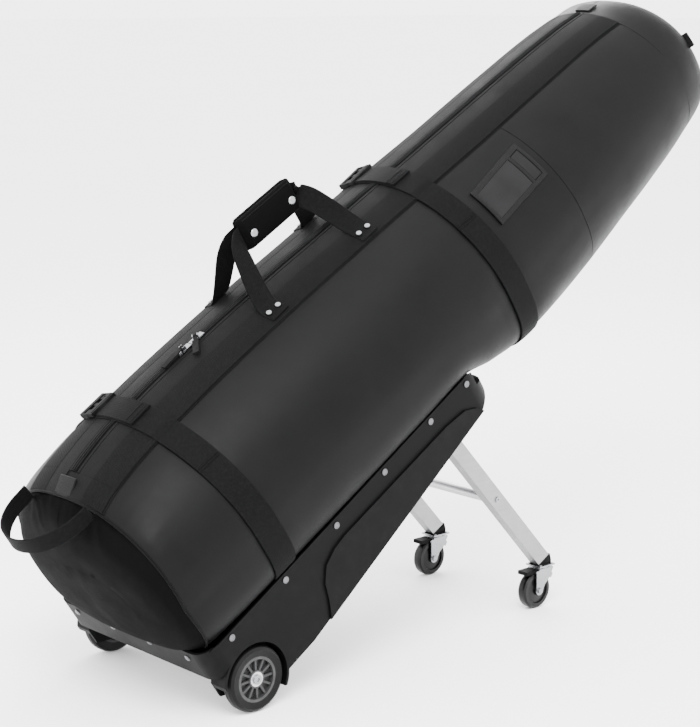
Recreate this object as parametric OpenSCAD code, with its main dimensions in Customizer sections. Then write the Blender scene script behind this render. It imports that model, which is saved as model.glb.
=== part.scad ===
// Wheeled golf travel case standing on its two main wheels and a fold-down
// pair of caster legs.  The case lies along a tilted line: "along" runs up the
// case from the main axle towards the head end, "out" points from the base
// tray towards the zipped face.  All lengths in millimetres, degrees for angles.

/* [Stance] */
// Tilt of the case above the floor when the legs are down
tilt = 33; // [33:1:33]
// Shift that puts the origin under the middle of the whole object
shift_x = -396.4; // [-400:0.1:-390]

/* [Main wheels] */
// Diameter of a main wheel
wheel_d = 100; // [98:1:102]
// Width of a main wheel tyre
wheel_w = 24; // [20:1:24]
// Distance from the mid-plane to the middle of a main wheel
wheel_y = 175; // [174:1:176]
// Diameter of the axle
axle_d = 8; // [6:1:10]
// Number of spokes in a wheel hub
spokes = 12; // [6:1:14]

/* [Legs and casters] */
// Pivot position along the case
pivot_u = 512.4; // [512:0.1:513]
// Pivot position out from the axle line
pivot_v = 36; // [35.5:0.1:36.5]
// Leg direction below the case line when the legs are down
leg_angle = 80.2; // [80:0.1:80.4]
// Length from the pivot to the foot of a leg
leg_len = 377; // [376:0.5:378]
// Depth of the rectangular leg tube
leg_depth = 27.3; // [24:0.1:28]
// Thickness of the rectangular leg tube across the case
leg_thick = 19.6; // [16:0.1:20]
// Wall of the leg tube
leg_wall = 1.8; // [1.2:0.1:2.4]
// Distance from the mid-plane to the middle of a leg
leg_y = 126.4; // [125:0.1:128]
// Distance of the cross tube down the leg from the pivot
cross_at = 205; // [180:1:230]
// Diameter of the cross tube
cross_d = 17; // [14:1:19]
// Diameter of a caster wheel
caster_d = 64; // [60:1:64]
// Swivel axis of the casters in front of the main axle
swivel_x = 669; // [668:0.5:670]
// Caster wheel trail behind the swivel axis
trail = 16; // [14:1:18]

/* [Base tray] */
// Half width of the tray over its side walls
tray_half = 186; // [185:1:187]
// Thickness of the moulded wall
tray_wall = 4; // [3:0.5:4]
// Height of the rim above the axle line
rim_v = 98; // [96:1:99]
// Height of the tray floor's upper face above the axle line
floor_v = 71.5; // [71:0.5:72]

/* [Soft case] */
// Thickness of the padded fabric wall
pad = 6; // [4:0.5:8]
// Width of the webbing straps
strap_w = 43; // [38:1:46]
// Start of the lower strap along the case
strap1_u = 108; // [104:1:112]
// Start of the upper strap along the case
strap2_u = 703; // [698:1:708]

/* [Hidden] */

$fn = 48;
axle_h = wheel_d / 2;
eps = 0.01;
flap0 = 15;            // flaps run along the case from here
flap1 = 1250;          // to here
gap = 0.3;             // clearance between neighbouring soft bodies

// ---------------------------------------------------------------------------
// Soft case form.  Each row is one cross-section:
// along, top height, half width, height of the widest line, bottom height,
// roundness of the upper half, roundness of the lower half
// ---------------------------------------------------------------------------
ST = [
 [-66, 235, 100, 180, 118, 2.0, 2.2],
 [-60, 278, 148, 180,  96, 2.0, 2.6],
 [-48, 316, 178, 182,  80, 2.0, 3.6],
 [-20, 341, 194, 186,  74, 2.3, 4.0],
 [ 40, 359, 200, 188,  73, 2.15,4.0],
 [110, 368, 203, 190,  73, 2.0, 4.0],
 [200, 371, 204, 190,  73, 1.9, 4.0],
 [300, 369, 205, 188,  73, 1.9, 4.0],
 [450, 363, 204, 180,  73, 1.9, 4.0],
 [560, 356, 201, 168,  73, 1.95,3.8],
 [640, 352, 197, 152,  44, 2.0, 3.6],
 [740, 346, 191, 145,  16, 2.0, 3.4],
 [900, 337, 187, 148,   8, 1.9, 2.9],
 [1050,328, 182, 150,  12, 1.9, 2.5],
 [1180,317, 174, 154,  20, 1.95,2.4],
 [1260,305, 167, 156,  30, 2.0, 2.3],
 [1300,298, 160, 156,  37, 2.1, 2.3],
 [1326,280, 146, 156,  54, 2.2, 2.3],
 [1338,248, 114, 156,  84, 2.2, 2.3],
 [1342,205,  60, 156, 118, 2.2, 2.3]];
NS = len(ST);

// smooth curve through column c of the table
function slope(k, c) =
  k == 0 ? (ST[1][c]-ST[0][c])/(ST[1][0]-ST[0][0]) :
  k == NS-1 ? (ST[NS-1][c]-ST[NS-2][c])/(ST[NS-1][0]-ST[NS-2][0]) :
  let (a = (ST[k][c]-ST[k-1][c])/(ST[k][0]-ST[k-1][0]),
       b = (ST[k+1][c]-ST[k][c])/(ST[k+1][0]-ST[k][0]))
  a*b <= 0 ? 0 : 2*a*b/(a+b);
function span(u, k = 0) = (k >= NS-2 || u < ST[k+1][0]) ? k : span(u, k+1);
function at(u, c) =
  let (i = span(u), h = ST[i+1][0]-ST[i][0], t = (u-ST[i][0])/h,
       m0 = slope(i, c), m1 = slope(i+1, c))
  (2*t*t*t-3*t*t+1)*ST[i][c] + (t*t*t-2*t*t+t)*h*m0
  + (3*t*t-2*t*t*t)*ST[i+1][c] + (t*t*t-t*t)*h*m1;
// height of the fabric's outer face at u, y
function topv(u, y) = at(u,3) + (at(u,1)-at(u,3))
  * pow(max(0, 1-pow(abs(y)/at(u,2), at(u,5))), 1/at(u,5));
// closed outline at u, grown by o; 4*q points
function outline(u, o, q = 10) =
  let (vt = at(u,1)+o, w = at(u,2)+o, vm = at(u,3), vb = at(u,4)-o, n = at(u,5), l = at(u,6))
  [for (i = [0:4*q-1])
    let (a = 90*i/q, s = sin(a), c = cos(a), e = c > -1e-9 ? 2/n : 2/l,
         ys = abs(s) < 1e-9 ? 0 : sign(s)*pow(abs(s), e),
         vc = abs(c) < 1e-9 ? 0 : pow(abs(c), e))
    [w*ys, c > 0 ? vm+(vt-vm)*vc : vm-(vm-vb)*vc]];
// solid through the cross-sections at the listed positions
module loft(us, o = 0, q = 10) {
  n = 4*q; m = len(us);
  P = [for (u = us) for (p = outline(u, o, q)) [u, p[0], p[1]]];
  polyhedron(points = P, faces = concat(
    [[for (i = [0:n-1]) n-1-i]],
    [for (k = [0:m-2]) for (i = [0:n-1]) let (j = (i+1)%n)
      [k*n+i, (k+1)*n+j, (k+1)*n+i]],
    [for (k = [0:m-2]) for (i = [0:n-1]) let (j = (i+1)%n)
      [k*n+i, k*n+j, (k+1)*n+j]],
    [[for (i = [0:n-1]) (m-1)*n + i]]), convexity = 8);
}
// a soft form is one closed skin of many small flats
module soft() resize([0, 0, 0]) { children(); }
// layer between two offsets over a stretch of the case
module layer(us, o0, o1, q = 10) difference() {
  loft(us, o1, q);
  loft(concat([us[0]-1], [for (i = [1:len(us)-2]) us[i]], [us[len(us)-1]+1]), o0, q);
}
// half width of the zipped face at u (straight seam lines)
function seam(u) = 91 - 0.0085*u;
// height of the flaps' hinge line at u
function hinge_v(u) = 345.4 - 0.047*(u-412);
// flat outline of one side of the mouth, from the middle (m) to the seam, s = side
module mouth2d(s, m, grow, u0 = flap0+gap, u1 = flap1-gap)
  polygon([[u0, s*m], [u1, s*m], [u1, s*(seam(u1)+grow)], [u0, s*(seam(u0)+grow)]]);
module mouth(s, m, grow, u0 = flap0+gap, u1 = flap1-gap)
  translate([0, 0, 200]) linear_extrude(300) mouth2d(s, m, grow, u0, u1);

// frames ---------------------------------------------------------------------
module case_frame() translate([shift_x, 0, axle_h]) rotate([0, -tilt, 0]) children();
module floor_frame() translate([shift_x, 0, 0]) children();
// extrude an (along, out) outline across the case
module across(y0, y1) translate([0, y1, 0]) rotate([90, 0, 0]) linear_extrude(y1-y0) children();
module ycyl(u, v, y0, y1, r) translate([u, y0, v]) rotate([-90, 0, 0]) cylinder(h = y1-y0, r = r);
module both() { children(); mirror([0, 1, 0]) children(); }
module side(s) { if (s > 0) children(); else mirror([0, 1, 0]) children(); }
// rectangle with round corners, built from true circles
module round_rect(x0, x1, y0, y1, r0, r1) {
  translate([x0+r0, y0]) square([x1-x0-r0-r1, y1-y0]);
  translate([x0, y0+r0]) square([r0, y1-y0-2*r0]);
  translate([x1-r1, y0+r1]) square([r1, y1-y0-2*r1]);
  for (y = [y0+r0, y1-r0]) translate([x0+r0, y]) circle(r0);
  for (y = [y0+r1, y1-r1]) translate([x1-r1, y]) circle(r1);
}

// ribbon: flat band through points P, width directions W, width w, thickness t
function unit(a) = a/norm(a);
function tang(P, i) = unit(P[min(i+1, len(P)-1)]-P[max(i-1, 0)]);
module ribbon(P, W, w, t) {
  n = len(P);
  C = [for (i = [0:n-1]) let (T = tang(P, i), wd = unit(W[i]-(W[i]*T)*T), nd = cross(T, wd))
        each [P[i]-wd*w/2-nd*t/2, P[i]+wd*w/2-nd*t/2, P[i]+wd*w/2+nd*t/2, P[i]-wd*w/2+nd*t/2]];
  polyhedron(points = C, faces = concat([[0,1,2,3]],
    [for (k = [0:n-2]) for (i = [0:3]) let (j = (i+1)%4) [4*k+i, 4*k+4+j, 4*k+j]],
    [for (k = [0:n-2]) for (i = [0:3]) let (j = (i+1)%4) [4*k+i, 4*k+4+i, 4*k+4+j]],
    [[4*n-1, 4*n-2, 4*n-3, 4*n-4]]), convexity = 6);
}

// ---------------------------------------------------------------------------
// Base tray
// ---------------------------------------------------------------------------
// side outline of the tray, along and out
TRAY = [[-52, 46], [-52, rim_v], [566, rim_v], [590, 88], [604, 70], [611, 52],
        [601, 41], [567, 26], [110, -31], [50, -31], [40, 0], [30, 46]];
// raised panel on the side wall
PANEL = [[150, -26], [157, -12], [163, 2], [171, 29], [188, 51], [214, 61], [240, 64],
         [490, 60], [534, 54], [556, 40], [566, 26.4], [566, 25.9]];
arch_r = 56;

module tray_plan(inset) round_rect(-52+inset, 611-inset, -tray_half+inset, tray_half-inset,
                                   30-inset, 50-inset);
// half-space above the floor by h, used to trim the wheel wells
module above(h, y0, y1) rotate([0, tilt, 0]) translate([-300, y0, h-axle_h]) cube([1400, y1-y0, 700]);

module base_tray() color([0.21, 0.21, 0.215]) case_frame() difference() {
  union() {
    difference() {
      intersection() {
        across(-tray_half, tray_half) polygon(TRAY);
        translate([0, 0, -60]) linear_extrude(200) tray_plan(0);
      }
      // seat for the bag above the floor
      translate([0, 0, floor_v]) linear_extrude(60) tray_plan(tray_wall);
      // recess for the folded legs, open downwards
      intersection() {
        translate([0, 0, -60]) linear_extrude(floor_v-tray_wall+60) tray_plan(tray_wall);
        across(-200, 200) polygon([[-48, -60], [-48, 90], [552, 90], [598, 37], [598, -60]]);
      }
    }
    // raised side panels
    both() intersection() {
      across(tray_half-1, tray_half+3.5) polygon(PANEL);
      translate([0, 0, -60]) linear_extrude(200) round_rect(-60, 611, -200, 200, 30, 50);
    }
    // rim bead
    both() across(tray_half-1, tray_half+1.5) polygon([[-22, rim_v-3], [-22, rim_v], [560, rim_v], [560, rim_v-3]]);
    // wheel wells
    both() intersection() {
      difference() {
        ycyl(0, 0, 153, tray_half, arch_r+4);
        ycyl(0, 0, 157, 200, arch_r);
      }
      across(140, 200) polygon([[-50, -10], [-50, 70], [80, 70], [80, -60], [40, -60]]);
      above(28, 140, 200);
    }
    // axle bosses on the inner well walls
    both() ycyl(0, 0, 141, 156, 13);
  }
  // wheel clearances through the side and end walls
  both() ycyl(0, 0, 157, 200, arch_r);
  // axle hole
  ycyl(0, 0, -200, 200, axle_d/2+0.05);
  // the floor drops with the bag towards the nose
  across(-tray_half+tray_wall, tray_half-tray_wall)
    polygon([[560, floor_v], [580, 67], [600, 59], [611.5, 53], [630, 45], [630, 120], [560, 120]]);
  // the rim leans outwards round the bulging fabric
  both() translate([-48, 0, 0]) rotate([90, 0, 90]) linear_extrude(640)
    polygon([[tray_half-4.6, 95.2], [tray_half-1.4, 98.4], [tray_half-1.4, 100], [tray_half-5, 100]]);
  // pivot bracket bolt holes through the floor
  both() for (y = [96, 152]) translate([pivot_u-13, y, 40]) cylinder(h = 60, r = 2.6);
  both() for (y = [96, 152]) translate([pivot_u+9, y, 40]) cylinder(h = 60, r = 2.6);
}

// pan-head rivets along both rims and across the low end
module rivet() { cylinder(h = 1.2, r = 5.2); translate([0, 0, 1.2]) cylinder(h = 1.2, r1 = 4.6, r2 = 3); }
module tray_rivets() color([0.75, 0.76, 0.77]) case_frame() {
  both() for (p = [[1.4, 88], [120.6, 87.2], [237.8, 86], [354.2, 87.5], [469.1, 88], [560, 86]])
    translate([p[0], tray_half+gap/3, p[1]]) rotate([-90, 0, 0]) rivet();
  both() for (y = [46, 138])
    translate([-52-gap/3, y, 84]) rotate([0, -90, 0]) rivet();
}

// ---------------------------------------------------------------------------
// Main axle and wheels
// ---------------------------------------------------------------------------
module axle_rod() color([0.7, 0.71, 0.72]) case_frame() difference() {
  ycyl(0, 0, -(wheel_y+9), wheel_y+9, axle_d/2);
  both() ycyl(0, 0, wheel_y-10, wheel_y+12, 2.6);
}
// recessed cap bolts that hold the wheels on the rod
module axle_bolts() color([0.8, 0.81, 0.82]) case_frame() both() {
  difference() {
    ycyl(0, 0, wheel_y+9.05, wheel_y+12, 7.2);
    ycyl(0, 0, wheel_y+10.4, wheel_y+13, 3);
  }
  ycyl(0, 0, wheel_y-8, wheel_y+9.1, 2.55);
}
module axle_spacers() color([0.7, 0.71, 0.72]) case_frame() both() difference() {
  union() { ycyl(0, 0, 157.2, wheel_y-9.05, 6.6); ycyl(0, 0, wheel_y-1.9, wheel_y+1.9, 6.6); }
  ycyl(0, 0, 150, 200, axle_d/2+0.05);
}
module main_tyre(s) color([0.1, 0.1, 0.1]) case_frame() side(s) translate([0, wheel_y, 0])
  rotate([90, 0, 0]) rotate_extrude($fn = 96)
    polygon([[34.2, -wheel_w/2+2], [44, -wheel_w/2], [48, -wheel_w/2+3], [wheel_d/2, -4],
             [wheel_d/2, 4], [48, wheel_w/2-3], [44, wheel_w/2], [34.2, wheel_w/2-2]]);
module main_hub(s) color([0.2, 0.2, 0.21]) case_frame() side(s) translate([0, wheel_y, 0])
  rotate([90, 0, 0]) difference() {
    union() {
      rotate_extrude($fn = 96) polygon([[30, -10], [34.2, -10], [34.2, 10], [30, 10]]);
      translate([0, 0, -9]) cylinder(h = 18, r = 13.5);
      for (i = [0:spokes-1]) rotate(i*360/spokes) translate([13, -1.7, -8]) cube([17.6, 3.4, 16]);
      difference() { translate([0, 0, -2]) cylinder(h = 4, r = 30.5); translate([0, 0, -3]) cylinder(h = 6, r = 12); }
    }
    translate([0, 0, -9.5]) cylinder(h = 7.5, r = 11.02);
    translate([0, 0, 2]) cylinder(h = 7.5, r = 11.02);
    translate([0, 0, -12]) cylinder(h = 24, r = 8);
  }
module main_bearings(s) color([0.72, 0.73, 0.74]) case_frame() side(s) translate([0, wheel_y, 0])
  rotate([90, 0, 0]) for (z = [-9, 2]) translate([0, 0, z]) difference() {
    cylinder(h = 7, r = 11);
    translate([0, 0, -1]) cylinder(h = 9, r = axle_d/2+0.05);
  }

// ---------------------------------------------------------------------------
// Leg pivot, stops and over-centre springs, all inside the tray recess
// ---------------------------------------------------------------------------
roof = floor_v - tray_wall;
module pivot_brackets() color([0.62, 0.63, 0.64]) case_frame() both() difference() {
  union() {
    for (y = [100, 143]) {
      translate([pivot_u-18, y, pivot_v]) cube([32, 3, roof-pivot_v]);
      ycyl(pivot_u, pivot_v, y, y+3, 15);
    }
    translate([pivot_u-20, 88, roof-2.5]) cube([36, 72, 2.4]);
  }
  ycyl(pivot_u, pivot_v, 90, 160, 6.05);
  for (y = [96, 152]) for (x = [-13, 9]) translate([pivot_u+x, y, roof-10]) cylinder(h = 20, r = 2.6);
  translate([pivot_u-30, 80, roof-0.1]) cube([60, 90, 20]);
}
module pivot_shaft() color([0.7, 0.71, 0.72]) case_frame()
  ycyl(pivot_u, pivot_v, -150, 150, 6);
module shaft_retainers() color([0.55, 0.56, 0.57]) case_frame() both() difference() {
  ycyl(pivot_u, pivot_v, 146.3, 148.3, 9);
  ycyl(pivot_u, pivot_v, 140, 160, 6);
}
// stops that take the load of the legs when they are down
module stop_blocks() color([0.14, 0.14, 0.14]) case_frame() both()
  translate([pivot_u, 0, pivot_v]) rotate([0, leg_angle-90, 0])
    intersection() {
      translate([leg_depth/2+0.3, 113, -16]) cube([16, 28, 60]);
      translate([0, 100, 0]) rotate([0, 90-leg_angle, 0]) translate([-40, 0, -60]) cube([120, 60, 60+roof-pivot_v-2.6]);
    }
// clips that the cross tube snaps into when the legs are folded up
fold_angle = 93;
ct = [pivot_u+cross_at*cos(leg_angle+fold_angle), pivot_v-cross_at*sin(leg_angle+fold_angle)];
module fold_clips() color([0.16, 0.16, 0.16]) case_frame() both() difference() {
  intersection() {
    translate([ct[0], 0, ct[1]]) rotate([0, leg_angle+fold_angle-180, 0])
      translate([-14, 52, -9]) cube([28, 16, 90]);
    translate([ct[0]-60, 50, ct[1]-30]) cube([120, 20, 30+roof-ct[1]-0.1]);
  }
  translate([ct[0], 0, ct[1]]) rotate([0, leg_angle+fold_angle-180, 0]) {
    translate([-cross_d/2-0.9, 40, -30]) cube([cross_d+1.8, 40, 30]);
    ycyl(0, 0, 40, 80, cross_d/2+0.9);
  }
}
// folding stop pads under the tray roof for the tops of the legs
module friction_washers() color([0.55, 0.56, 0.57]) leg_frame() both() difference() {
  union() {
    ycyl(0, 0, 103.1, 104.3, 11);
    ycyl(0, 0, 141.6, 142.8, 11);
  }
  ycyl(0, 0, 90, 150, 6.1);
}

// ---------------------------------------------------------------------------
// Legs
// ---------------------------------------------------------------------------
// x runs down the leg from the pivot
module leg_frame() case_frame() translate([pivot_u, 0, pivot_v]) rotate([0, leg_angle, 0]) children();
// everything below the slanted cut at the foot
module foot_cut(down = 0) floor_frame() across(-200, 200)
  polygon([[630, 62.5-down], [653.5, 76.3-down], [677.6, 90.4-down], [720, 115.2-down], [720, 0], [630, 0]]);
module leg_tube(s) color([0.80, 0.81, 0.82]) side(s) difference() {
  leg_frame() union() {
    translate([0, leg_y-leg_thick/2, -leg_depth/2]) cube([leg_len+14, leg_thick, leg_depth]);
    ycyl(0, 0, leg_y-leg_thick/2, leg_y+leg_thick/2, leg_depth/2);
  }
  leg_frame() translate([18, leg_y-leg_thick/2+leg_wall, -leg_depth/2+leg_wall])
    cube([leg_len, leg_thick-2*leg_wall, leg_depth-2*leg_wall]);
  leg_frame() ycyl(0, 0, leg_y-20, leg_y+20, 8.02);
  leg_frame() ycyl(cross_at, 0, leg_y-20, leg_y+20, 3.05);
  foot_cut();
}
module leg_cross_tube() color([0.72, 0.73, 0.74]) leg_frame() difference() {
  ycyl(cross_at, 0, -(leg_y-leg_thick/2)+0.02, leg_y-leg_thick/2-0.02, cross_d/2);
  both() ycyl(cross_at, 0, 90, 130, 3.05);
}
// plain bushes between the legs and the pivot shaft
module leg_bushes() color([0.85, 0.85, 0.82]) leg_frame() both() difference() {
  union() {
    ycyl(0, 0, leg_y-leg_thick/2-0.5, leg_y+leg_thick/2+0.5, 8);
    ycyl(0, 0, leg_y+leg_thick/2+0.05, 141.5, 10);
    ycyl(0, 0, 104.4, leg_y-leg_thick/2-0.05, 10);
  }
  ycyl(0, 0, 90, 150, 6.05);
}
module leg_screws() color([0.85, 0.86, 0.87]) leg_frame() both() difference() {
  union() {
    ycyl(cross_at, 0, leg_y+leg_thick/2+0.05, leg_y+leg_thick/2+2.2, 4.6);
    ycyl(cross_at, 0, 98, leg_y+leg_thick/2+0.1, 3);
  }
  ycyl(cross_at, 0, leg_y+leg_thick/2+1, leg_y+leg_thick/2+4, 1.7);
}
// ---------------------------------------------------------------------------
// Feet and casters
// ---------------------------------------------------------------------------
module caster_frame(s) floor_frame() translate([swivel_x, s*leg_y, 0]) children();
module foot_wedges() color([0.1, 0.1, 0.1]) both() union() {
  floor_frame() translate([0, leg_y, 0]) across(-leg_thick/2, leg_thick/2)
    polygon([[652, 74.2], [684.5, 74.2], [684.5, 80], [681, 91], [677.6, 90.3], [653.5, 76.2], [652, 75.3]]);
  difference() {
    leg_frame() translate([leg_len-28, leg_y-leg_thick/2+leg_wall+0.1, -leg_depth/2+leg_wall+0.1])
      cube([42, leg_thick-2*leg_wall-0.2, leg_depth-2*leg_wall-0.2]);
    foot_cut(1.5);
  }
}
module caster_plates() color([0.78, 0.79, 0.80]) for (s = [-1, 1]) caster_frame(s) {
  translate([-19, -16, 71.6]) cube([38, 32, 2.5]);
  translate([0, 0, 64.6]) cylinder(h = 7.1, r = 3.95);
  translate([0, 0, 63]) cylinder(h = 2.2, r = 6);
  for (x = [-13.5, 13.5]) for (y = [-12.5, 12.5]) translate([x, y, 74]) cylinder(h = 1.7, r = 2.2);
}
module fork(s) color([0.74, 0.75, 0.76]) caster_frame(s) difference() {
  union() {
    translate([-17, -13.6, 66.2]) cube([34, 27.2, 2.4]);
    translate([0, 0, 68.5]) cylinder(h = 2.8, r = 13);
    for (y = [-13.6, 11.2]) translate([0, y, 0]) {
      across(0, 2.4) polygon([[-23.5, 66.4], [-23, 36], [-trail, 24.5], [-9.5, 28], [-3, 41], [9, 51.5], [12, 49.5],
                          [15.5, 55], [15.5, 57.5], [13, 59], [17, 66.4], [17, 68.6], [-17, 68.6], [-17, 66.4]]);
      ycyl(-trail, caster_d/2, 0, 2.4, 8);
    }
  }
  translate([0, 0, 60]) cylinder(h = 20, r = 4);
  ycyl(-trail, caster_d/2, -20, 20, 3.02);
}
module caster_wheel(s) color([0.09, 0.09, 0.09]) caster_frame(s) translate([-trail, 0, caster_d/2])
  rotate([90, 0, 0]) difference() {
    rotate_extrude($fn = 72) polygon([[3.08, -10.2], [9, -10.2], [9, -8], [22, -6.5], [23, -9], [29, -9],
      [caster_d/2-0.6, -6.5], [caster_d/2, -3], [caster_d/2, 3], [caster_d/2-0.6, 6.5], [29, 9],
      [23, 9], [22, 6.5], [9, 8], [9, 10.2], [3.08, 10.2]]);
  }
module caster_axle(s) color([0.82, 0.83, 0.84]) caster_frame(s) {
  ycyl(-trail, caster_d/2, -13.6, 13.6, 3);
  for (m = [0, 1]) mirror([0, m, 0]) ycyl(-trail, caster_d/2, 13.6, 16.6, 4.8);
}
// foot brake lever over the trailing side of the caster wheel
bp = [-20.5, 66.6];
module caster_brake(s) color([0.1, 0.1, 0.1]) caster_frame(s) difference() {
  union() {
    translate([-45, -10.4, 62.2]) cube([24.5, 20.8, 6.2]);
    ycyl(bp[0], bp[1]-0.6, -10.4, 10.4, 2.4);
  }
  // room for the wheel
  ycyl(-trail, caster_d/2, -12, 12, caster_d/2+1.6);
}

// ---------------------------------------------------------------------------
// Soft case
// ---------------------------------------------------------------------------
US_LOW = [-20, 10, 40, 75, 110, 150, 200, 250, 300, 375, 450, 510, 560, 600, 640, 690, 740, 820, 915];
US_UP = [915.2, 980, 1050, 1115, 1180, 1220, 1260, 1284, 1300, 1314, 1326, 1333, 1338, 1342];
US_UP_IN = [914.2, 980, 1050, 1115, 1180, 1220, 1260, 1284, 1300, 1314, 1326, 1332, 1335];
module mouth_cut() both() mouth(1, -1, gap/2, flap0, flap1);

module bag_lower() color([0.12, 0.12, 0.125]) case_frame() soft() difference() {
  layer(US_LOW, -pad, 0);
  mouth_cut();
}
module bag_upper() color([0.12, 0.12, 0.125]) case_frame() soft() difference() {
  loft(US_UP);
  loft(US_UP_IN, -pad);
  mouth_cut();
}
module end_panel() color([0.15, 0.15, 0.155]) case_frame() soft() difference() {
  intersection() {
    loft([-66, -63, -60, -54, -48, -40, -30, -20.2]);
    // stays clear of the tray's end wall
    across(-300, 300) polygon([[-80, 99.6], [-51.6, 99.6], [-46.6, 97.4], [-46.6, 50], [0, 50], [0, 400], [-80, 400]]);
  }
  loft([-60, -54, -48, -40, -30, -19], -pad);
}
// padded cap lining the inside of the head end
module head_pad() color([0.2, 0.2, 0.2]) case_frame() soft() difference() {
  loft([1262, 1284, 1300, 1314, 1326, 1330], -pad-1.6);
  loft([1261, 1284, 1300, 1312], -pad-20);
}
// straps down both sides, from the rim to the zipped face
module strap_band(u0) layer([u0, u0+strap_w/2, u0+strap_w], 0.4, 2.4, 16);
module straps_side(s) color([0.08, 0.08, 0.08]) case_frame() soft() side(s) intersection() {
  union() { strap_band(strap1_u); strap_band(strap2_u); }
  across(0, 300) polygon([[90, rim_v+1], [600, rim_v+1], [690, -10], [800, -10], [800, 500], [90, 500]]);
  difference() {
    translate([0, 20, -60]) cube([900, 300, 600]);
    mouth(1, -1, 5);
  }
}
// clear-fronted name card pocket on the near side
module pocket_slab(u0, u1, z0, z1) translate([u0, -300, z0]) cube([u1-u0, 250, z1-z0]);
module id_pocket() color([0.14, 0.14, 0.14]) case_frame() soft() difference() {
  intersection() {
    layer([768, 800, 835, 870, 900], 0.7, 2.6, 16);
    pocket_slab(768, 900, 236, 292);
  }
  pocket_slab(780, 868, 245, 284);
}
module id_window() color([0.3, 0.3, 0.32, 0.6]) case_frame() soft() intersection() {
  layer([780.3, 800, 835, 867.7], 0.9, 1.6, 16);
  pocket_slab(780.3, 867.7, 245.3, 283.7);
}

// webbing loop on the low end
module grab_loop() color([0.08, 0.08, 0.08]) case_frame() {
  P = [for (i = [0:16]) let (a = 180*i/16) [-42-76*sin(a), 76*cos(a), 336]];
  ribbon(concat([[-34, 76, 336]], P, [[-34, -76, 336]]), [for (i = [0:18]) [0, 0, 1]], 25, 2.6);
}
// folded webbing tab sewn into the edge of the head end
module head_tab() color([0.08, 0.08, 0.08]) case_frame() soft() difference() {
  ribbon([for (t = [4, 12, 20, 26]) [1312, -126, 198]+t*[0.72, -0.66, 0.2]], [for (i = [0:3]) [0.42, 0.64, 0.6]], 26, 4.8);
  loft([1260, 1284, 1300, 1314, 1326, 1338, 1342], 2.2);
}
// bound tabs that close the two ends of the zip
module zip_end_tabs() color([0.1, 0.1, 0.1]) case_frame() {
  translate([8, 0, topv(8, 0)+0.8]) rotate([0, -19, 0]) translate([-21, -19, 0]) cube([22, 38, 2.6]);
  translate([1258, 0, topv(1258, 0)+0.4]) rotate([0, 7, 0]) translate([0, -15, 0]) cube([22, 30, 2.4]);
}

// ---------------------------------------------------------------------------
// Flaps: two halves of the zipped face that hinge at the seams
// ---------------------------------------------------------------------------
US_FLAP = [14, 40, 75, 110, 150, 200, 250, 300, 375, 450, 510, 560, 600, 640, 690, 740, 820, 900, 980, 1050, 1115, 1180, 1220, 1251];
module flap_panel(s) color([0.14, 0.14, 0.145]) case_frame() soft() difference() {
  intersection() {
    layer(US_FLAP, -pad+1, 0, 12);
    side(s) mouth(1, 0.8, -gap/2, flap0+gap, flap1-1);
  }
  // the meeting edges draw back a little at the low end
  translate([0, -1.7, 200]) cube([75, 3.4, 300]);
}
// wide webbing band next to the seam
module band(s) color([0.1, 0.1, 0.1]) case_frame() soft() intersection() {
  layer(US_FLAP, 0.2, 1.2, 12);
  side(s) mouth(1, 44, -1.5, flap0+1, flap1-1);
}
// zip tape with its row of coils along the middle
module zip_half(s) color([0.07, 0.07, 0.07]) case_frame() soft() side(s) {
  intersection() {
    layer(US_FLAP, 0.2, 1.0, 12);
    translate([0, 0, 200]) linear_extrude(300) polygon([[flap0+1, 1.5], [75, 0.2], [flap1-1, 0.2], [flap1-1, 16], [flap0+1, 16]]);
  }
  intersection() {
    layer(US_FLAP, 0.9, 1.4, 12);
    translate([0, 0, 200]) linear_extrude(300) polygon([[flap0+1, 1.5], [75, 0.2], [flap1-1, 0.2], [flap1-1, 3], [flap0+1, 3]]);
  }
}
// strap tops ride on the near flap and end in the male half of each buckle
sb = [52, 50];          // where the strap ends, across the case
module strap_tops_near() color([0.08, 0.08, 0.08]) case_frame() soft() {
  for (u0 = [strap1_u, strap2_u]) intersection() {
    layer([u0, u0+strap_w/2, u0+strap_w], 2.2, 4.2, 20);
    translate([0, -seam(u0)+1.2, 200]) cube([900, seam(u0)+48, 300]);
  }
  // loose ends folded back over the strap
  for (u0 = [strap1_u, strap2_u]) intersection() {
    layer([u0+2, u0+strap_w/2, u0+strap_w-2], 4.4, 6.2, 20);
    translate([0, -42, 200]) cube([900, 88, 300]);
  }
}
// place a buckle on the far shoulder of the case
module on_shoulder(u, y, o) translate([u, y, topv(u, y)+o])
  rotate([-atan2(topv(u, y-8)-topv(u, y+8), 16), 0, 0]) children();
module buckles_male() color([0.06, 0.06, 0.06]) case_frame()
  for (u0 = [strap1_u, strap2_u]) on_shoulder(u0+strap_w/2, 50, 2.4) {
    difference() {
      translate([-strap_w/2-3, -2, 2.2]) cube([strap_w+6, 14, 6]);
      translate([-strap_w/2-0.5, 0.6, 1]) cube([strap_w+1, 3.2, 9]);
    }
    for (m = [0, 1]) mirror([m, 0, 0]) {
      translate([12, 11.8, 3.4]) cube([5, 14, 3.4]);
      translate([12, 21, 3.4]) cube([9, 4.8, 3.4]);
    }
    translate([-3, 11.8, 3.4]) cube([6, 13, 3.4]);
  }
module buckles_female() color([0.06, 0.06, 0.06]) case_frame() {
  for (u0 = [strap1_u, strap2_u]) on_shoulder(u0+strap_w/2, 50, 2.4) {
    // floor of the socket with side rails; the prongs lift out of its open top
    translate([-strap_w/2-3, 13, -0.1]) cube([strap_w+6, 24, 2.4]);
    translate([-strap_w/2-3, 27.5, 2.2]) cube([strap_w+6, 9.5, 5.6]);
    for (m = [0, 1]) mirror([m, 0, 0]) {
      translate([21.8, 13, 2.2]) cube([2.7, 15, 5.6]);
      translate([17.6, 13, 2.2]) cube([4.4, 5.4, 5.6]);
    }
  }
}

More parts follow.
